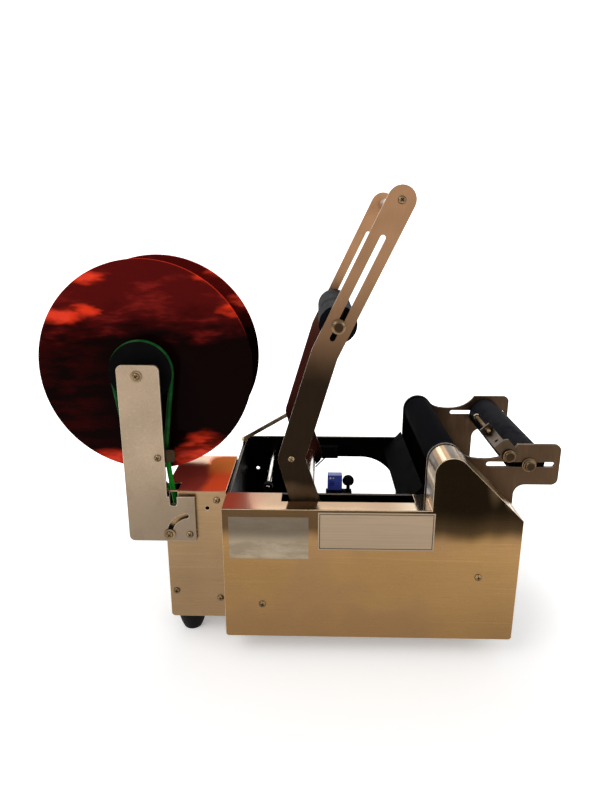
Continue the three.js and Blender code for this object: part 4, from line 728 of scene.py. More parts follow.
def place_piece(name, shape, finish, body, replaced=(), edge=0.0, sharp=SHARP, edge_finish=None):
    """Makes a finished piece of a bmesh: broken edges, even shading, its finish and its body."""
    piece = object_of(name, shape)
    for key in (finish, edge_finish) if edge_finish else (finish,):
        piece.data.materials.append(FINISHES[key][0])
    if edge > 0.0:
        bevel = piece.modifiers.new("broken_edges", "BEVEL")
        bevel.width = edge
        bevel.segments = 2
        bevel.limit_method = "ANGLE"
        bevel.angle_limit = math.radians(sharp)
        # The bevel's faces take the edge finish, which is partly wear and partly painted highlight
        bevel.material = 1 if edge_finish else -1
        bake_modifiers(piece)
    smoothed(piece.data, sharp)
    even = piece.modifiers.new("even_shading", "WEIGHTED_NORMAL")
    even.keep_sharp = True
    even.weight = 100
    bake_modifiers(piece)
    ride_and_replace(piece, body, replaced)


def bake_modifiers(piece):
    """Swaps the piece's mesh for its evaluated result and removes the modifiers."""
    bpy.context.view_layer.update()
    graph = bpy.context.evaluated_depsgraph_get()
    evaluated = piece.evaluated_get(graph)
    baked = bpy.data.meshes.new_from_object(evaluated, preserve_all_data_layers=True, depsgraph=graph)
    piece.modifiers.clear()
    old = piece.data
    piece.data = baked
    bpy.data.meshes.remove(old)
    if len(baked.polygons) == 0:
        raise RuntimeError(piece.name + " came out empty")


def ride_and_replace(piece, body, replaced):
    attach(piece, body)
    if replaced:
        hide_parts(*replaced)


def carried(node, finish, edge=0.0, sharp=SHARP, edge_finish=None):
    """A merged copy of a CAD node with broken edges, which stands for the node."""
    shape = bmesh.new()
    shape.from_mesh(frame["nodes"][node].data)
    bmesh.ops.remove_doubles(shape, verts=shape.verts, dist=WELD_DISTANCE)
    bmesh.ops.dissolve_limit(shape, angle_limit=FLAT_ANGLE, verts=shape.verts, edges=shape.edges)
    body = frame["nodes"][node]["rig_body"]
    place_piece(node + "_finished", shape, finish, body, (node,), edge, sharp, edge_finish)


def stepped(start, *steps):
    """Half profile of a stepped shaft: each step is a radius and the place along where it ends."""
    profile = [(0.0, start)]
    for radius, end in steps:
        profile += [(radius, profile[-1][1]), (radius, end)]
    return profile + [(0.0, profile[-1][1])]


def turned_into(shape, profile, axle, segments=48, axis="Y", bore=0.0):
    """Adds a turned solid: pairs of radius and place along in millimetres, closed over the axle or a bore."""
    points = [(max(radius, bore), along) for radius, along in profile]
    if bore > 0.0:
        points = [(bore, points[0][1])] + points + [(bore, points[-1][1])]
    points = [pair for index, pair in enumerate(points) if index == 0 or pair != points[index - 1]]

    def spot(radius, along, angle):
        out, up = axle[0] + radius * math.cos(angle), axle[1] + radius * math.sin(angle)
        return Vector({"X": (along, out, up), "Y": (out, along, up), "Z": (out, up, along)}[axis]) * MM

    rings = []
    for radius, along in points:
        angles = [2.0 * math.pi * step / segments for step in range(segments if radius > 0.0 else 1)]
        rings.append([shape.verts.new(spot(radius, along, angle)) for angle in angles])
    pairs = list(zip(rings, rings[1:]))
    if bore > 0.0:
        pairs.append((rings[-1], rings[0]))
    made = []
    for ring, following in pairs:
        for step in range(segments):
            after = (step + 1) % segments
            if len(ring) == 1 and len(following) == 1:
                continue
            if len(ring) == 1:
                corners = (ring[0], following[after], following[step])
            elif len(following) == 1:
                corners = (ring[step], ring[after], following[0])
            else:
                corners = (ring[step], ring[after], following[after], following[step])
            made.append(shape.faces.new(corners))
    bmesh.ops.recalc_face_normals(shape, faces=made)


def turned(*values, **settings):
    """A new turned solid, from what turned_into takes after its shape."""
    shape = bmesh.new()
    turned_into(shape, *values, **settings)
    return shape


def turned_piece(name, node, profile, axle, finish, body, edge=0.0, segments=48, bore=0.0, edge_finish=None):
    """A turned piece that stands for a node."""
    shape = turned(profile, axle, segments, bore=bore)
    place_piece(name, shape, finish, body, (node,), edge, edge_finish=edge_finish)


def block_into(shape, low, high):
    """Adds a block between two corners in millimetres."""
    (x0, y0, z0), (x1, y1, z1) = low, high
    corners = [(x, y, z) for z in (z0, z1) for x, y in ((x0, y0), (x1, y0), (x1, y1), (x0, y1))]
    verts = [shape.verts.new(Vector(corner) * MM) for corner in corners]
    for side in ((0, 3, 2, 1), (4, 5, 6, 7), (0, 1, 5, 4), (1, 2, 6, 5), (2, 3, 7, 6), (3, 0, 4, 7)):
        shape.faces.new([verts[index] for index in side])


def block_piece(name, blocks, finish, body, replaced=(), edge=0.0):
    """A piece of blocks, each a low and a high corner in millimetres."""
    shape = bmesh.new()
    for low, high in blocks:
        block_into(shape, low, high)
    place_piece(name, shape, finish, body, replaced, edge)


def path_mesh(name, points, closed):
    """A chain of edges through points in metres, for a swept piece."""
    count = len(points)
    links = [(index, (index + 1) % count) for index in range(count if closed else count - 1)]
    mesh = bpy.data.meshes.new(name)
    mesh.from_pydata(points, links, [])
    return mesh


def run_tree(name, mesh, tree_name, values, finish, body, replaced=()):
    """Gives the mesh to a geometry tree, bakes the result and sets it up as a piece."""
    piece = linked(name, mesh)
    tree = bpy.data.node_groups[tree_name]
    modifier = piece.modifiers.new(tree_name, "NODES")
    modifier.node_group = tree
    identifiers = {
        item.name: item.identifier for item in tree.interface.items_tree if item.in_out == "INPUT"
    }
    for key, value in {**values, "Finish": FINISHES[finish][0]}.items():
        modifier[identifiers[key]] = value
    bake_modifiers(piece)
    piece.data.set_sharp_from_angle(angle=math.radians(40.0))
    ride_and_replace(piece, body, replaced)


def screw_parts(settings):
    """A domed head with a cross recess and a dark cross in it as painted shade, standing on the origin with
    the crown up.
    """
    radius, height = settings.head_radius / MM, settings.head_height / MM
    shares = ((1.0, 0.0), (1.0, 0.18), (0.95, 0.45), (0.83, 0.70), (0.62, 0.90), (0.34, 0.98), (0.0, 1.0))
    dome = [(0.0, -0.2)] + [(radius * wide, height * high) for wide, high in shares]
    head = object_of("screw_head", turned(dome, (0.0, 0.0), 40, "Z"))
    half, reach, floor = settings.recess_width / MM / 2.0, radius * 0.56, height * 0.38
    crosses = []
    for name, spare, top in (("screw_recess", 0.0, height * 1.6), ("screw_cross", 0.02, height * 0.66)):
        cross = bmesh.new()
        for wide, deep in ((reach + spare, half + spare), (half + spare, reach + spare)):
            block_into(cross, (-wide, -deep, floor - spare), (wide, deep, top))
        crosses.append(object_of(name, cross))
    # The dark cross sits in the recess as painted shade
    cutter, dark = crosses
    carve = head.modifiers.new("recess", "BOOLEAN")
    carve.object = cutter
    carve.operation = "DIFFERENCE"
    carve.solver = "EXACT"
    carve.use_self = True
    bake_modifiers(head)
    smoothed(head.data, 38.0)
    bpy.data.objects.remove(cutter)
    return head, dark


# How far a screw is tipped from upright to look to the front or the back
FACINGS = {"front": math.radians(90.0), "back": math.radians(-90.0)}


def screws_at(name, parts, places, facing, body, seed, replaced=()):
    """Sets heads on places in millimetres, and the dark crosses in their recesses, which are painted shade.
    """
    for suffix, part, finish, stood_for in (
        ("", parts[0], "screw", replaced), ("_crosses", parts[1], "nut_end", ()),
    ):
        points = bpy.data.meshes.new(name + suffix)
        points.from_pydata([Vector(place) * MM for place in places], [], [])
        turn = (FACINGS[facing], 0.0, 0.0)
        values = {"Piece": part, "Facing": turn, "Twist": math.radians(90.0), "Seed": seed}
        run_tree(name + suffix, points, "set_on_points", values, finish, body, stood_for)


def washer_at(name, axle, face, radius, body):
    """A flat washer standing in front of a face that looks to the front."""
    thickness, bore = 1.2, 2.6
    ring = turned([(radius, face - thickness), (radius, face)], axle, bore=bore)
    place_piece(name, ring, "screw", body, (), 0.25 * MM)


class LABELLER_OT_finishes(Operator):
    """Make the shared node groups and every finish"""

    bl_idname = "labeller.finishes"
    bl_label = "Finishes"

    def execute(self, context):
        settings = context.scene.labeller
        steel, rollers, reel = settings.steel, settings.rollers, settings.reel
        skin = rollers.rubber_colour
        casing, plates, bright = "casing_steel", "plate_steel", "bright_steel"
        rubber, plastic, paint = "black_rubber", "black_plastic", "black_steel"
        make_groups()
        around = (9.0, 1100.0, 9.0)
        for key, finish, slot in (
            ("cover", cover_finish(steel), casing),
            ("box", box_finish(steel), casing),
            ("arm", arm_finish(steel), plates),
            ("plate", plate_finish(steel), plates),
            ("bracket", bracket_finish(steel), "bracket_steel"),
            ("grip", grip_rubber(skin, rollers.knurl_pitch, DRIVE_AXLE, SLEEVE_RADIUS * MM), rubber),
            ("acrylic", disc_acrylic(reel), "red_acrylic"),
            ("belt", belt_finish(reel.belt_colour), "green_belt"),
            ("blue", blue_finish(), "blue_plastic"),
            ("foil", foil_finish(), bright),
            ("cream", printed_finish("cream_plate", (0.365, 0.258, 0.160), 0.36), "bracket_steel"),
            ("ink", printed_finish("plate_border", (0.012, 0.008, 0.006), 0.4), paint),
            ("pale", printed_finish("pale_legend", (0.62, 0.60, 0.55), 0.45), "bracket_steel"),
        ):
            FINISHES[key] = (finish.made, slot)
        metals = (
            ("stop", plates, "stop_sheet", (0.058, 0.038, 0.022), (60.0, 300.0, 60.0), 20.0, 0.34, 0.95),
            ("rod", plates, "plain_rod", (0.42, 0.325, 0.215), (300.0, 300.0, 60.0), 20.0, 0.26),
            ("bright", bright, "bright_turned", steel.bright_colour, around, 25.0, 0.2),
            ("chrome", bright, "chromed_rod", (0.72, 0.69, 0.64), around, 30.0, 0.12),
            # Bright bevel finishes: edges worn bright, with painted highlights along them
            ("cover_edge", casing, "cover_edge", (0.62, 0.47, 0.31), around, 30.0, 0.18),
            ("arm_edge", plates, "arm_edge", (0.30, 0.200, 0.115), around, 30.0, 0.24),
            ("bracket_edge", "bracket_steel", "bracket_edge", (0.60, 0.52, 0.42), around, 30.0, 0.24),
            ("nut", bright, "bronze_nut", (0.082, 0.050, 0.025), around, 60.0, 0.24),
            # Dark steel: the belt guide's own colour, and painted shade on nut and bolt ends and in screw
            # recesses
            ("nut_end", bright, "nut_end", (0.030, 0.018, 0.010), around, 60.0, 0.3),
            ("screw", bright, "screw_steel", steel.screw_colour, (300.0,) * 3, 60.0, 0.18, 1.0, 0.5),
        )
        blacks = (
            ("rubber", rubber, "roller_rubber", skin, 0.66, 0.06, 1400.0, 0.05, 0.03),
            ("foot", rubber, "foot_rubber", (0.0035, 0.0030, 0.0030), 0.6, 0.16, 900.0, 0.10, 0.10),
            ("roller_skin", plastic, "roller_skin", (0.003, 0.003, 0.005), 0.60, 0.08, 1700.0, 0.03, 0.018),
            ("moulded", plastic, "moulded_black", (0.0020, 0.0018, 0.0020), 0.55, 0.06, 1200.0, 0.05, 0.02),
            ("painted", paint, "painted_steel", (0.0018, 0.0015, 0.0014), 0.72, 0.03, 700.0, 0.08, 0.012),
        )
        for maker, rows in ((brushed_metal, metals), (smooth_black, blacks)):
            for key, slot, *values in rows:
                FINISHES[key] = (maker(*values).made, slot)
        return {"FINISHED"}


class LABELLER_OT_stage(Operator):
    """Make the floor, the lamps, the pale room and the camera"""

    bl_idname = "labeller.stage"
    bl_label = "Stage"

    def execute(self, context):
        studio = context.scene.labeller.studio
        scene = context.scene
        scene.view_settings.view_transform = "Standard"
        self.make_room(scene, studio)
        self.make_floor(studio)
        for name, place, size, power in (
            ("key_lamp", (-0.75, -1.05, 1.35), 0.9, studio.key_power),
            ("fill_lamp", (1.25, -0.85, 0.85), 0.8, studio.fill_power),
            ("back_lamp", (0.15, 1.05, 1.25), 0.9, studio.back_power),
        ):
            self.make_lamp(name, place, size, power)
        strip = self.make_lamp("strip_lamp", (-0.45, -0.10, 1.15), 0.05, studio.strip_power)
        strip.data.shape = "RECTANGLE"
        strip.data.size_y = 0.8
        strip.rotation_euler = (0.0, math.radians(-28.0), 0.0)
        lens = bpy.data.cameras.new("photo_camera")
        lens.lens = studio.lens
        lens.sensor_width = 36.0
        lens.clip_start = 0.02
        camera = linked("photo_camera", lens)
        camera.location = CAMERA_PLACE
        camera.rotation_euler = (math.radians(90.0) - studio.pitch, 0.0, studio.yaw)
        scene.camera = camera
        return {"FINISHED"}

    def seen_rays(self, tree):
        """One for rays that show the backdrop itself, and nothing for those that only light."""
        rays = put(tree, "ShaderNodeLightPath")
        seen = maths("MAXIMUM", rays["Is Camera Ray"], rays["Is Glossy Ray"])
        return maths("MAXIMUM", seen, rays["Is Transmission Ray"])

    def make_room(self, scene, studio):
        room = scene.world or bpy.data.worlds.new("pale_room")
        scene.world = room
        room.use_nodes = True
        tree = room.node_tree
        back = tree.nodes["Background"]
        back.inputs["Color"].default_value = (1.0, 1.0, 1.0, 1.0)
        tree.links.new(ramp(self.seen_rays(tree), 0.0, 1.0, studio.surround, 1.0), back.inputs["Strength"])

    def make_floor(self, studio):
        finish = Finish("pale_floor")
        finish.feed("Base Color", (*studio.floor_colour, 1.0))
        finish.feed("Roughness", 0.9)
        finish.feed("Specular IOR Level", 0.1)
        finish.feed("Emission Color", (1.0, 1.0, 1.0, 1.0))
        apart = vector_maths("DISTANCE", finish.where, (0.15, 0.05, 0.0))["Value"]
        glow = ramp(apart, 0.30, 0.62, 0.30, 1.0)
        finish.feed("Emission Strength", times(self.seen_rays(finish.tree), glow))
        front, back, half_width, rise, bend, steps = -3.0, 2.2, 3.0, 2.4, 0.7, 10
        profile = [(front, 0.0)]
        for step in range(steps + 1):
            angle = math.radians(90.0) * step / steps
            profile.append((back - bend + bend * math.sin(angle), bend - bend * math.cos(angle)))
        profile.append((back, rise))
        shape = bmesh.new()
        rows = [[shape.verts.new((side, y, z)) for side in (-half_width, half_width)] for y, z in profile]
        for lower, upper in zip(rows, rows[1:]):
            shape.faces.new((lower[0], lower[1], upper[1], upper[0]))
        floor = object_of("floor_sweep", shape)
        smoothed(floor.data)
        floor.data.materials.append(finish.made)

    def make_lamp(self, name, place, size, power):
        light = bpy.data.lights.new(name, "AREA")
        light.energy = power
        light.size = size
        lamp = linked(name, light)
        lamp.location = place
        lamp.rotation_euler = (LAMP_AIM - Vector(place)).to_track_quat("-Z", "Y").to_euler()
        return lamp


class LABELLER_OT_casing(Operator):
    """Finish the drive cover and the control box"""

    bl_idname = "labeller.casing"
    bl_label = "Casing"

    def execute(self, context):
        edge = context.scene.labeller.steel.edge * 1.8
        for node, finish, width in (
            ("drive_cover", "cover", edge), ("control_box", "box", edge),
            ("box_front_panel", "box", edge * 0.7),
        ):
            carried(node, finish, width, 28.0, "cover_edge")
        return {"FINISHED"}


class LABELLER_OT_frame_plates(Operator):
    """Finish the side plates and what joins them"""

    bl_idname = "labeller.frame_plates"
    bl_label = "Frame Plates"

    def execute(self, context):
        edge = context.scene.labeller.steel.edge
        for node in ("near_side_plate", "far_side_plate", "left_end_plate", "base_plate"):
            carried(node, "plate", edge * 1.4, SHARP, "arm_edge")
        carried("peel_plate", "painted", edge)
        carried("rest_pad", "foot", edge * 2.0)
        return {"FINISHED"}


class LABELLER_OT_lever(Operator):
    """Make the press lever's arms, shaft, handle and stop rod"""

    bl_idname = "labeller.lever"
    bl_label = "Press Lever"

    def execute(self, context):
        edge = context.scene.labeller.steel.edge
        for node in ("near_arm", "far_arm"):
            carried(node, "arm", edge * 1.4, SHARP, "arm_edge")
        carried("stop_rod", "rod", edge)
        shaft = stepped(-43.3, (13.0, NEAR_ARM_FACE), (8.0, 162.3), (13.0, 169.3), (8.0, FAR_PLATE_BACK))
        turned_piece(
            "lever_shaft_turned", "lever_shaft", shaft, LEVER_AXLE, "chrome", "lever", edge * 2.0, 64
        )
        bar = stepped(-36.0, (3.0, -31.7), (6.0, 157.7), (3.0, 162.0))
        turned_piece("handle_bar_turned", "handle_bar", bar, HANDLE_AXLE, "bright", "lever", edge, 64)
        return {"FINISHED"}


def axle_profile(start, outer_start, outer_end, back_face, stud=2.9, thick=5.0):
    """Half profile of a slotted wall's axle with its washer and head at the back."""
    return [
        (0.0, start), (stud - 0.4, start), (stud, start + 0.4), (stud, outer_start), (thick, outer_start),
        (thick, outer_end), (stud, outer_end), (stud, back_face), (7.5, back_face), (7.5, back_face + 1.5),
        (6.2, back_face + 1.5), (6.2, back_face + 6.5), (5.2, back_face + 7.5), (0.0, back_face + 7.5),
    ]


def nut_profile(face):
    """Half profile of a capped nut with its washer, its crown to the front."""
    return [
        (0.0, face - 7.5), (5.0, face - 7.5), (5.9, face - 7.0), (6.0, face - 4.4), (7.1, face - 4.1),
        (7.3, face - 1.5), (8.5, face - 1.5), (8.5, face), (3.1, face), (3.1, face - 5.6), (0.0, face - 5.6),
    ]


def place_crown(name, axle, front, back, radius, body):
    """The dark flat on the end of a nut or a bolt: painted shade at its centre."""
    crown = turned([(0.0, front), (radius, front), (radius + 0.2, back), (0.0, back)], axle, 40)
    place_piece(name, crown, "nut_end", body)


class LABELLER_OT_rollers(Operator):
    """Make the drive, idler, press and traction rollers with their axles"""

    bl_idname = "labeller.rollers"
    bl_label = "Rollers"

    def execute(self, context):
        settings = context.scene.labeller
        rollers, edge = settings.rollers, settings.steel.edge
        sleeve = stepped(ROLLERS_START, (SLEEVE_RADIUS, ROLLERS_END))
        core = stepped(-57.0, *self.belt_wheel(12.0), (6.0, ROLLERS_START), (16.0, ROLLERS_END), (6.0, 199.3))
        traction = stepped(
            -57.0, *self.belt_wheel(10.0), (5.0, ROLLERS_START), (13.0, ROLLERS_END), (5.0, FAR_PLATE_BACK)
        )
        for name, node, profile, axle, finish, body, width, bore in (
            ("drive_sleeve_gripped", "drive_roller_sleeve", sleeve, DRIVE_AXLE, "grip", "drive_roller",
             rollers.edge, 16.15),
            ("drive_core_turned", "drive_roller_core", core, DRIVE_AXLE, "bright", "drive_roller", edge, 0.0),
            ("idler_tube", "idler_roller", stepped(-12.7, (22.0, 187.0)), IDLER_AXLE, "roller_skin",
             "idler_roller", rollers.edge, ROLLER_BORE),
            ("press_tube", "press_roller", stepped(-24.0, (22.0, 150.0)), PRESS_AXLE, "rubber",
             "press_roller", rollers.edge, ROLLER_BORE),
            ("traction_tube", "traction_roller", traction, TRACTION_AXLE, "rubber", "traction_roller",
             edge, 0.0),
        ):
            turned_piece(name, node, profile, axle, finish, body, width, rollers.segments, bore)
        # Each slotted wall's axle: its line, the face its nut sits on, and its places along
        axles = (
            ("idler", IDLER_AXLE, -20.0, (-25.2, -15.4, 189.7, FAR_PLATE_BACK)),
            ("press", PRESS_AXLE, NEAR_ARM_FACE, (-41.5, -31.7, 157.7, 162.3)),
        )
        for kind, axle, _, places in axles:
            name, node = kind + "_axle_turned", kind + "_axle"
            turned_piece(name, node, axle_profile(*places), axle, "bright", kind + "_carriage", edge)
        for kind, axle, face, _ in axles:
            name, node = kind + "_nut_capped", kind + "_nut"
            turned_piece(
                name, node, nut_profile(face), axle, "nut", kind + "_carriage", edge, edge_finish="arm_edge"
            )
        for kind, axle, face, _ in axles:
            place_crown(kind + "_nut_crown", axle, face - 7.62, face - 7.4, 4.6, kind + "_carriage")
        return {"FINISHED"}

    def belt_wheel(self, radius):
        """Steps of a flanged wheel for the toothed belt."""
        flange = radius + 1.2
        return (flange, -56.0), (radius, -46.0), (flange, -45.0)


class LABELLER_OT_reel(Operator):
    """Make the reel's discs, hub, pulley, collar and axle"""

    bl_idname = "labeller.reel"
    bl_label = "Reel"

    def execute(self, context):
        settings = context.scene.labeller
        edge = settings.steel.edge
        count = settings.reel.segments
        for name, start, body in (("near_disc", 9.0, "reel"), ("far_disc", 94.0, "far_disc")):
            disc = stepped(start, (REEL_RADIUS, start + 3.0))
            turned_piece(name + "_clear", name, disc, REEL_AXLE, "acrylic", body, edge, count, REEL_BORE)
        hub = stepped(12.3, (38.0, 15.3), (36.4, 90.7), (38.0, 93.7))
        turned_piece("reel_hub_turned", "reel_hub", hub, REEL_AXLE, "moulded", "reel", edge, 96, REEL_BORE)
        shape = turned(grooved_profile(REEL_TRACK), REEL_AXLE, 96, bore=REEL_BORE)
        turned_into(shape, stepped(-2.4, (11.0, 8.7)), REEL_AXLE, bore=REEL_BORE)
        place_piece("reel_pulley_turned", shape, "moulded", "reel", ("reel_pulley",), edge)
        turned_piece(
            "far_collar_turned", "far_disc_collar", stepped(97.3, (11.0, 109.3)), REEL_AXLE, "moulded",
            "far_disc", edge * 2.0, bore=REEL_BORE,
        )
        axle = [(0.0, -27.1), (6.0, -27.1), (6.0, 138.6), (4.8, 140.0), (0.0, 140.0)]
        turned_piece("reel_axle_turned", "reel_axle", axle, REEL_AXLE, "bright", "bracket", edge)
        return {"FINISHED"}


def grooved_profile(track):
    """Half profile of a wheel with a round groove for the belt, centred on the belt's plane."""
    half, flange, steps = 6.5, 1.6, 8
    rim, floor = track + 1.6, track - BELT_RADIUS - 0.3
    front, back = BELT_PLANE - half, BELT_PLANE + half
    points = [(0.0, front), (rim, front), (rim, front + flange)]
    for step in range(steps + 1):
        angle = math.radians(180.0) * step / steps
        depth, aside = (track - floor) * math.sin(angle), (BELT_RADIUS + 0.6) * math.cos(angle)
        points.append((track - depth, BELT_PLANE - aside))
    return points + [(rim, back - flange), (rim, back), (0.0, back)]


class LABELLER_OT_bracket(Operator):
    """Finish the reel's bracket, belt guide and drive pulley"""

    bl_idname = "labeller.bracket"
    bl_label = "Reel Bracket"

    def execute(self, context):
        edge = context.scene.labeller.steel.edge
        carried("reel_bracket", "bracket", edge * 1.8, SHARP, "bracket_edge")
        carried("belt_guide", "nut_end", edge)
        shape = turned(grooved_profile(DRIVE_TRACK), REEL_DRIVE_AXLE, 72)
        turned_into(shape, stepped(-2.7, (4.0, 34.0)), REEL_DRIVE_AXLE, 32)
        place_piece("reel_drive_turned", shape, "moulded", "reel_drive", ("reel_drive_pulley",), edge)
        return {"FINISHED"}


def reel_belt_route():
    """Points of the round belt: over the reel pulley, past both pins and crossed round the drive pulley."""
    pin_track, aside_most, step_angle = 7.3, 3.4, 0.16
    # Each wheel's axle, track, turning sense, and the side that the run after it leans to
    wheels = (
        (*REEL_AXLE, REEL_TRACK, -1, 0), (*GUIDE_PINS[0], pin_track, 1, -1),
        (*REEL_DRIVE_AXLE, DRIVE_TRACK, 1, 1), (*GUIDE_PINS[1], pin_track, -1, 0),
    )
    crossing = ((0.1, 0.15), (0.2, 0.55), (0.32, 1.0), (0.5, 1.0), (0.68, 1.0), (0.8, 0.55), (0.9, 0.15))

    def on_rim(wheel, angle):
        return Vector((wheel[0] + wheel[2] * math.cos(angle), wheel[1] + wheel[2] * math.sin(angle)))

    def belt_point(spot, aside=0.0):
        return Vector((spot.x, BELT_PLANE + aside, spot.y)) * MM

    runs = []
    for index, (x, z, radius, turn, _) in enumerate(wheels):
        next_x, next_z, next_radius, next_turn, _ = wheels[(index + 1) % len(wheels)]
        distance = math.hypot(next_x - x, next_z - z)
        bias = math.asin((turn * radius - next_turn * next_radius) / distance)
        heading = math.atan2(next_z - z, next_x - x) + bias
        runs.append((heading - turn * math.pi / 2.0, heading - next_turn * math.pi / 2.0))
    points = []
    for index, wheel in enumerate(wheels):
        turn, sideways = wheel[3:]
        arrive, leave = runs[index - 1][1], runs[index][0]
        sweep = ((leave - arrive) * turn) % (2.0 * math.pi)
        steps = max(3, math.ceil(sweep / step_angle))
        for step in range(steps + 1):
            points.append(belt_point(on_rim(wheel, arrive + turn * sweep * step / steps)))
        if sideways:
            start, end = on_rim(wheel, leave), on_rim(wheels[(index + 1) % len(wheels)], runs[index][1])
            for share, aside in crossing:
                points.append(belt_point(start.lerp(end, share), sideways * aside_most * aside))
    return points


class LABELLER_OT_belts(Operator):
    """Sweep the round reel belt and finish the toothed belt"""

    bl_idname = "labeller.belts"
    bl_label = "Belts"

    def execute(self, context):
        name = "reel_belt_round"
        values = {"Radius": context.scene.labeller.reel.belt_radius, "Sides": 20, "Step": 3.0 * MM}
        route = path_mesh(name, reel_belt_route(), True)
        run_tree(name, route, "round_sweep", values, "belt", "bracket", ("reel_belt",))
        carried("timing_belt", "rubber", 0.2 * MM)
        return {"FINISHED"}


class LABELLER_OT_spring(Operator):
    """Sweep the lever's return spring"""

    bl_idname = "labeller.spring"
    bl_label = "Return Spring"

    def execute(self, context):
        turns, pitch, coil, start, steps = 5, 3.6, 11.5, -13.7, 36
        points = []
        for index in range(turns * steps + 1):
            angle = 2.0 * math.pi * index / steps
            across, up = LEVER_AXLE[0] + coil * math.cos(angle), LEVER_AXLE[1] + coil * math.sin(angle)
            points.append(Vector((across, start + pitch * index / steps, up)) * MM)
        name = "return_spring_wound"
        values = {"Radius": 1.2 * MM, "Sides": 16, "Step": 1.6 * MM}
        path = path_mesh(name, points, False)
        run_tree(name, path, "round_sweep", values, "bright", "frame", ("return_spring",))
        return {"FINISHED"}


class LABELLER_OT_screws(Operator):
    """Set the button-head screws on each body, and the bottle stop's bolt"""

    bl_idname = "labeller.screws"
    bl_label = "Screws"

    def execute(self, context):
        settings = context.scene.labeller.screws
        parts = screw_parts(settings)
        panel, back, near_arm, far_arm, bracket = -25.0, 194.0, -36.0, 162.0, -31.4
        slot = (-16.0, 152.6)
        elbow, handle = (ELBOW[0], near_arm, ELBOW[1]), (HANDLE_AXLE[0], near_arm, HANDLE_AXLE[1])
        rows = (
            ("front_screws", "front", "frame", (), (
                (101.0, COVER_FRONT, 78.0), (360.0, COVER_FRONT, 118.6), (-13.5, panel, 68.0),
                (43.0, panel, 58.0), (43.0, panel, 196.5),
            )),
            ("back_screws", "back", "frame", (), (
                (57.0, back, 60.0), (57.0, back, 190.0), (115.0, back, 32.0), (345.0, back, 32.0),
                (403.0, back, 150.0),
            )),
            ("near_arm_screws", "front", "lever", (), (elbow, handle)),
            ("far_arm_screws", "back", "lever", (), ((HANDLE_AXLE[0], far_arm, HANDLE_AXLE[1]),)),
            ("bracket_screws", "front", "bracket", ("axle_screw",), (
                (-25.0, bracket, 254.0), (REEL_AXLE[0], -32.5, REEL_AXLE[1]),
            )),
            ("pivot_screw_head", "front", "frame", ("pivot_screw",), (
                (REEL_DRIVE_AXLE[0], bracket, REEL_DRIVE_AXLE[1]),
            )),
            ("slot_screw_head", "front", "frame", ("slot_screw",), ((slot[0], -33.2, slot[1]),)),
        )
        for index, (name, facing, body, replaced, places) in enumerate(rows):
            screws_at(name, parts, places, facing, body, settings.seed + index, replaced)
        washer_at("slot_washer", slot, -32.0, 7.4, "frame")
        washer_at("axle_washer", REEL_AXLE, bracket, 6.8, "bracket")
        for part in parts:
            bpy.data.objects.remove(part)
        bolt = [
            (0.0, -29.3), (5.2, -29.3), (6.1, -28.8), (6.2, -26.6), (7.6, -26.3), (8.2, -23.2), (3.0, -23.2),
            (3.0, -14.3), (0.0, -14.3),
        ]
        turned_piece(
            "stop_bolt_turned", "stop_bolt", bolt, STOP_BOLT_LINE, "nut", "frame", 0.35 * MM,
            edge_finish="arm_edge",
        )
        place_crown("stop_bolt_crown", STOP_BOLT_LINE, -29.42, -29.2, 4.7, "frame")
        return {"FINISHED"}


class LABELLER_OT_feet(Operator):
    """Turn the four rubber feet"""

    bl_idname = "labeller.feet"
    bl_label = "Feet"

    def execute(self, context):
        profile = [
            (0.0, 0.0), (10.6, 0.0), (11.6, 0.35), (12.2, 1.2), (15.0, 8.0), (17.2, 15.5), (18.2, 21.0),
            (18.6, 26.0), (19.0, 26.4), (19.0, 29.2), (18.5, 29.7), (3.0, 29.7), (3.0, 38.0), (0.0, 38.0),
        ]
        for index, place in enumerate(FEET):
            node = f"foot_{index + 1}"
            place_piece(node + "_turned", turned(profile, place, 72, "Z"), "foot", "frame", (node,))
        return {"FINISHED"}


class LABELLER_OT_labels(Operator):
    """Make the bare foil label and the bare bordered plate on the cover"""

    bl_idname = "labeller.labels"
    bl_label = "Labels"

    def execute(self, context):
        foil = ((62.6, COVER_FRONT - 0.25, 140.6), (157.0, COVER_FRONT, 195.4))
        block_piece("spec_label", (foil,), "foil", "frame", (), 0.08 * MM)
        left, right, low, high = 168.0, 304.5, 153.4, 202.0
        plate = ((left, -66.9, low), (right, COVER_FRONT, high))
        block_piece("name_plate", (plate,), "cream", "frame", (), 0.2 * MM)
        inset, line, front, back = 1.6, 0.9, -66.98, -66.8
        x0, x1, z0, z1 = left + inset, right - inset, low + inset, high - inset
        border = (
            ((x0, front, z0), (x1, back, z0 + line)), ((x0, front, z1 - line), (x1, back, z1)),
            ((x0, front, z0 + line), (x0 + line, back, z1 - line)),
            ((x1 - line, front, z0 + line), (x1, back, z1 - line)),
        )
        block_piece("name_plate_border", border, "ink", "frame")
        return {"FINISHED"}


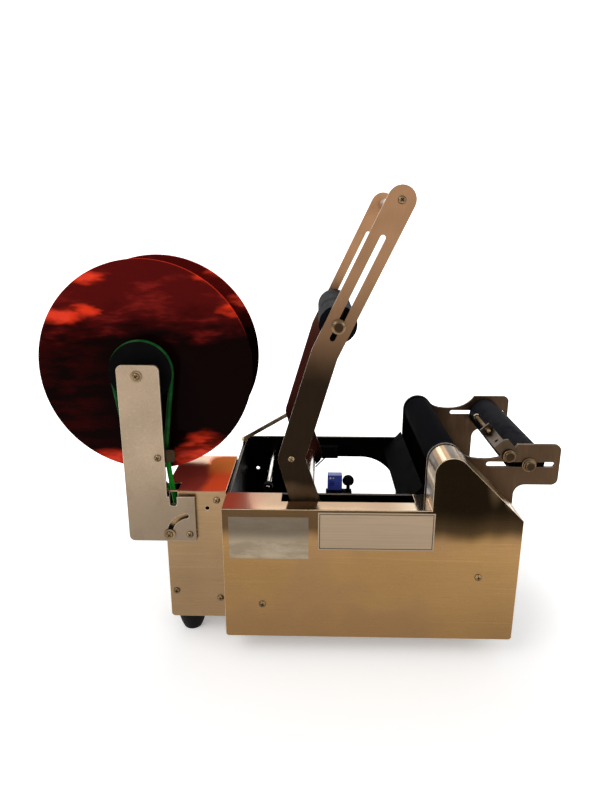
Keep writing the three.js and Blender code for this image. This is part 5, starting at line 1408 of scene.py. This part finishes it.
class LABELLER_OT_label_path(Operator):
    """Make the guide rod, the sensor with its rail and the microswitch"""

    bl_idname = "labeller.label_path"
    bl_label = "Label Path"

    def execute(self, context):
        edge = context.scene.labeller.steel.edge
        rod = [(0.0, 42.0), (2.6, 42.0), (3.4, 42.8), (3.4, 189.7), (0.0, 189.7)]
        turned_piece("guide_rod_turned", "guide_rod", rod, GUIDE_ROD_LINE, "chrome", "frame", segments=40)
        turned_piece(
            "guide_collar_turned", "guide_collar", stepped(42.0, (6.5, 51.0)), GUIDE_ROD_LINE, "moulded",
            "guide_collar", edge, 40, 3.7,
        )
        rail = [(0.0, -15.4), (5.0, -15.4), (5.0, 61.5), (4.2, 62.3), (0.0, 62.3)]
        turned_piece(
            "sensor_rail_turned", "sensor_rail", rail, SENSOR_RAIL_LINE, "bright", "frame", segments=40
        )
        carried("sensor_carriage", "painted", edge)
        self.make_sensor()
        self.make_sensor_knob()
        self.make_microswitch(edge)
        return {"FINISHED"}

    def make_sensor(self):
        housing, body = ((181.0, 28.0, 187.0), (200.0, 40.0, 208.0)), "sensor_carriage"
        block_piece("label_sensor_housing", (housing,), "blue", body, ("label_sensor",), 0.9 * MM)
        lamps = bmesh.new()
        for x, radius in ((184.6, 1.5), (188.4, 1.1)):
            turned_into(lamps, stepped(27.75, (radius, 28.3)), (x, 204.2), 24)
        place_piece("sensor_lamps", lamps, "pale", body)
        drops = [2.2 * index for index in range(3)]
        vents = [((183.4, 27.85, 198.6 - drop), (189.6, 28.2, 199.5 - drop)) for drop in drops]
        block_piece("sensor_vents", vents, "moulded", body)

    def make_sensor_knob(self):
        """A ball on a stalk, whose profile runs round the ball in even steps."""
        ball, centre, steps, lowest, swing = 7.6, 198.5, 11, -52.0, 142.0
        knob = [(0.0, 170.9), (2.4, 170.9), (2.4, 191.8), (3.6, 192.4)]
        for step in range(1, steps):
            angle = math.radians(lowest + swing * step / steps)
            knob.append((ball * math.cos(angle), centre + ball * math.sin(angle)))
        knob.append((0.0, centre + ball))
        shape = turned(knob, SENSOR_KNOB_AXIS, axis="Z")
        place_piece("sensor_knob_turned", shape, "moulded", "sensor_knob", ("sensor_knob",))

    def make_microswitch(self, edge):
        body = ((172.0, 176.7, 172.5), (200.0, 189.7, 191.5))
        block_piece("microswitch_body", (body,), "moulded", "frame", ("microswitch",), 0.8 * MM)
        rivets = bmesh.new()
        for spot in ((176.5, 177.0), (195.5, 187.0)):
            turned_into(rivets, [(0.0, 176.2), (1.7, 176.2), (1.9, 176.9), (0.0, 176.9)], spot, 24)
        place_piece("microswitch_rivets", rivets, "screw", "frame")
        carried("microswitch_lever", "screw", edge * 0.6)


class LABELLER_OT_bottle_stop(Operator):
    """Finish the bottle stop and turn its screw"""

    bl_idname = "labeller.bottle_stop"
    bl_label = "Bottle Stop"

    def execute(self, context):
        carried("stop_bracket", "stop", context.scene.labeller.steel.edge)
        root, crest, threads = 2.25, 2.6, 59
        screw = [(0.0, 13.0)]
        for thread in range(threads):
            screw += [(root, 13.4 + thread), (crest, 13.9 + thread)]
        screw += [(root, 73.0), (4.0, 73.0), (4.0, 77.0), (0.0, 77.0)]
        shape = turned(screw, STOP_SCREW_LINE, 36)
        place_piece("stop_screw_threaded", shape, "screw", "stop_screw", ("stop_screw",), 0.0, 60.0)
        return {"FINISHED"}


class LABELLER_OT_controls(Operator):
    """Make the switch, speed knob and power inlet on the control box, and the motors"""

    bl_idname = "labeller.controls"
    bl_label = "Controls"

    def execute(self, context):
        edge = context.scene.labeller.steel.edge
        for node in ("switch_housing", "switch_key", "power_inlet"):
            carried(node, "moulded", edge)
        self.make_knob()
        for node in ("gear_motor", "reel_motor"):
            carried(node, "painted", edge * 1.5)
        carried("motor_pulley", "bright", edge * 0.6)
        return {"FINISHED"}

    def make_knob(self):
        """A ribbed knob that looks to the left, on its stalk, with a pale pointer."""
        ribs, outer, inner, steps = 24, 11.0, 10.2, 6
        count = ribs * steps
        middle_y, middle_z = SPEED_KNOB_AXIS
        shape = bmesh.new()
        rings = []
        for along, draw in ((-23.5, 0.0), (-24.2, 0.0), (-35.6, 0.0), (-36.5, 0.9)):
            ring = []
            for step in range(count):
                angle = 2.0 * math.pi * step / count
                radius = inner + (outer - inner) * (0.5 + 0.5 * math.cos(angle * ribs)) - draw
                spot = (along, middle_y + radius * math.cos(angle), middle_z + radius * math.sin(angle))
                ring.append(shape.verts.new(Vector(spot) * MM))
            rings.append(ring)
        for ring, following in zip(rings, rings[1:]):
            for step in range(count):
                after = (step + 1) % count
                shape.faces.new((ring[step], ring[after], following[after], following[step]))
        shape.faces.new(rings[0])
        shape.faces.new(list(reversed(rings[-1])))
        bmesh.ops.recalc_face_normals(shape, faces=shape.faces)
        turned_into(shape, stepped(-4.0, (3.0, -23.5)), SPEED_KNOB_AXIS, 32, "X")
        place_piece("speed_knob_ribbed", shape, "moulded", "speed_knob", ("speed_knob",))
        pointer = ((-36.62, 33.5, 181.0), (-36.4, 34.5, 187.4))
        block_piece("speed_knob_pointer", (pointer,), "pale", "speed_knob")


class LABELLER_PT_panel(Panel):
    """Lists the machine's settings and the operators that make it"""

    bl_idname = "LABELLER_PT_panel"
    bl_label = "Bottle Labelling Machine"
    bl_space_type = "VIEW_3D"
    bl_region_type = "UI"
    bl_category = "Labeller"

    def draw(self, context):
        settings = context.scene.labeller
        for operator in OPERATORS:
            self.layout.operator(operator.bl_idname)
        for group in (settings.studio, settings.steel, settings.rollers, settings.reel, settings.screws):
            box = self.layout.box()
            for key in group.__annotations__:
                box.prop(group, key)


OPERATORS = (
    LABELLER_OT_finishes,
    LABELLER_OT_stage,
    LABELLER_OT_casing,
    LABELLER_OT_frame_plates,
    LABELLER_OT_lever,
    LABELLER_OT_rollers,
    LABELLER_OT_reel,
    LABELLER_OT_bracket,
    LABELLER_OT_belts,
    LABELLER_OT_spring,
    LABELLER_OT_screws,
    LABELLER_OT_feet,
    LABELLER_OT_labels,
    LABELLER_OT_label_path,
    LABELLER_OT_bottle_stop,
    LABELLER_OT_controls,
)
SETTINGS = (StudioSettings, SteelSettings, RollerSettings, ReelSettings, ScrewSettings, LabellerSettings)


def register():
    for entry in (*SETTINGS, *OPERATORS, LABELLER_PT_panel):
        bpy.utils.register_class(entry)
    bpy.types.Scene.labeller = PointerProperty(type=LabellerSettings)


def unregister():
    del bpy.types.Scene.labeller
    for entry in reversed((*SETTINGS, *OPERATORS, LABELLER_PT_panel)):
        bpy.utils.unregister_class(entry)


def main():
    register()
    for operator in OPERATORS:
        group, name = operator.bl_idname.split(".")
        getattr(getattr(bpy.ops, group), name)()


if __name__ == "__main__":
    main()
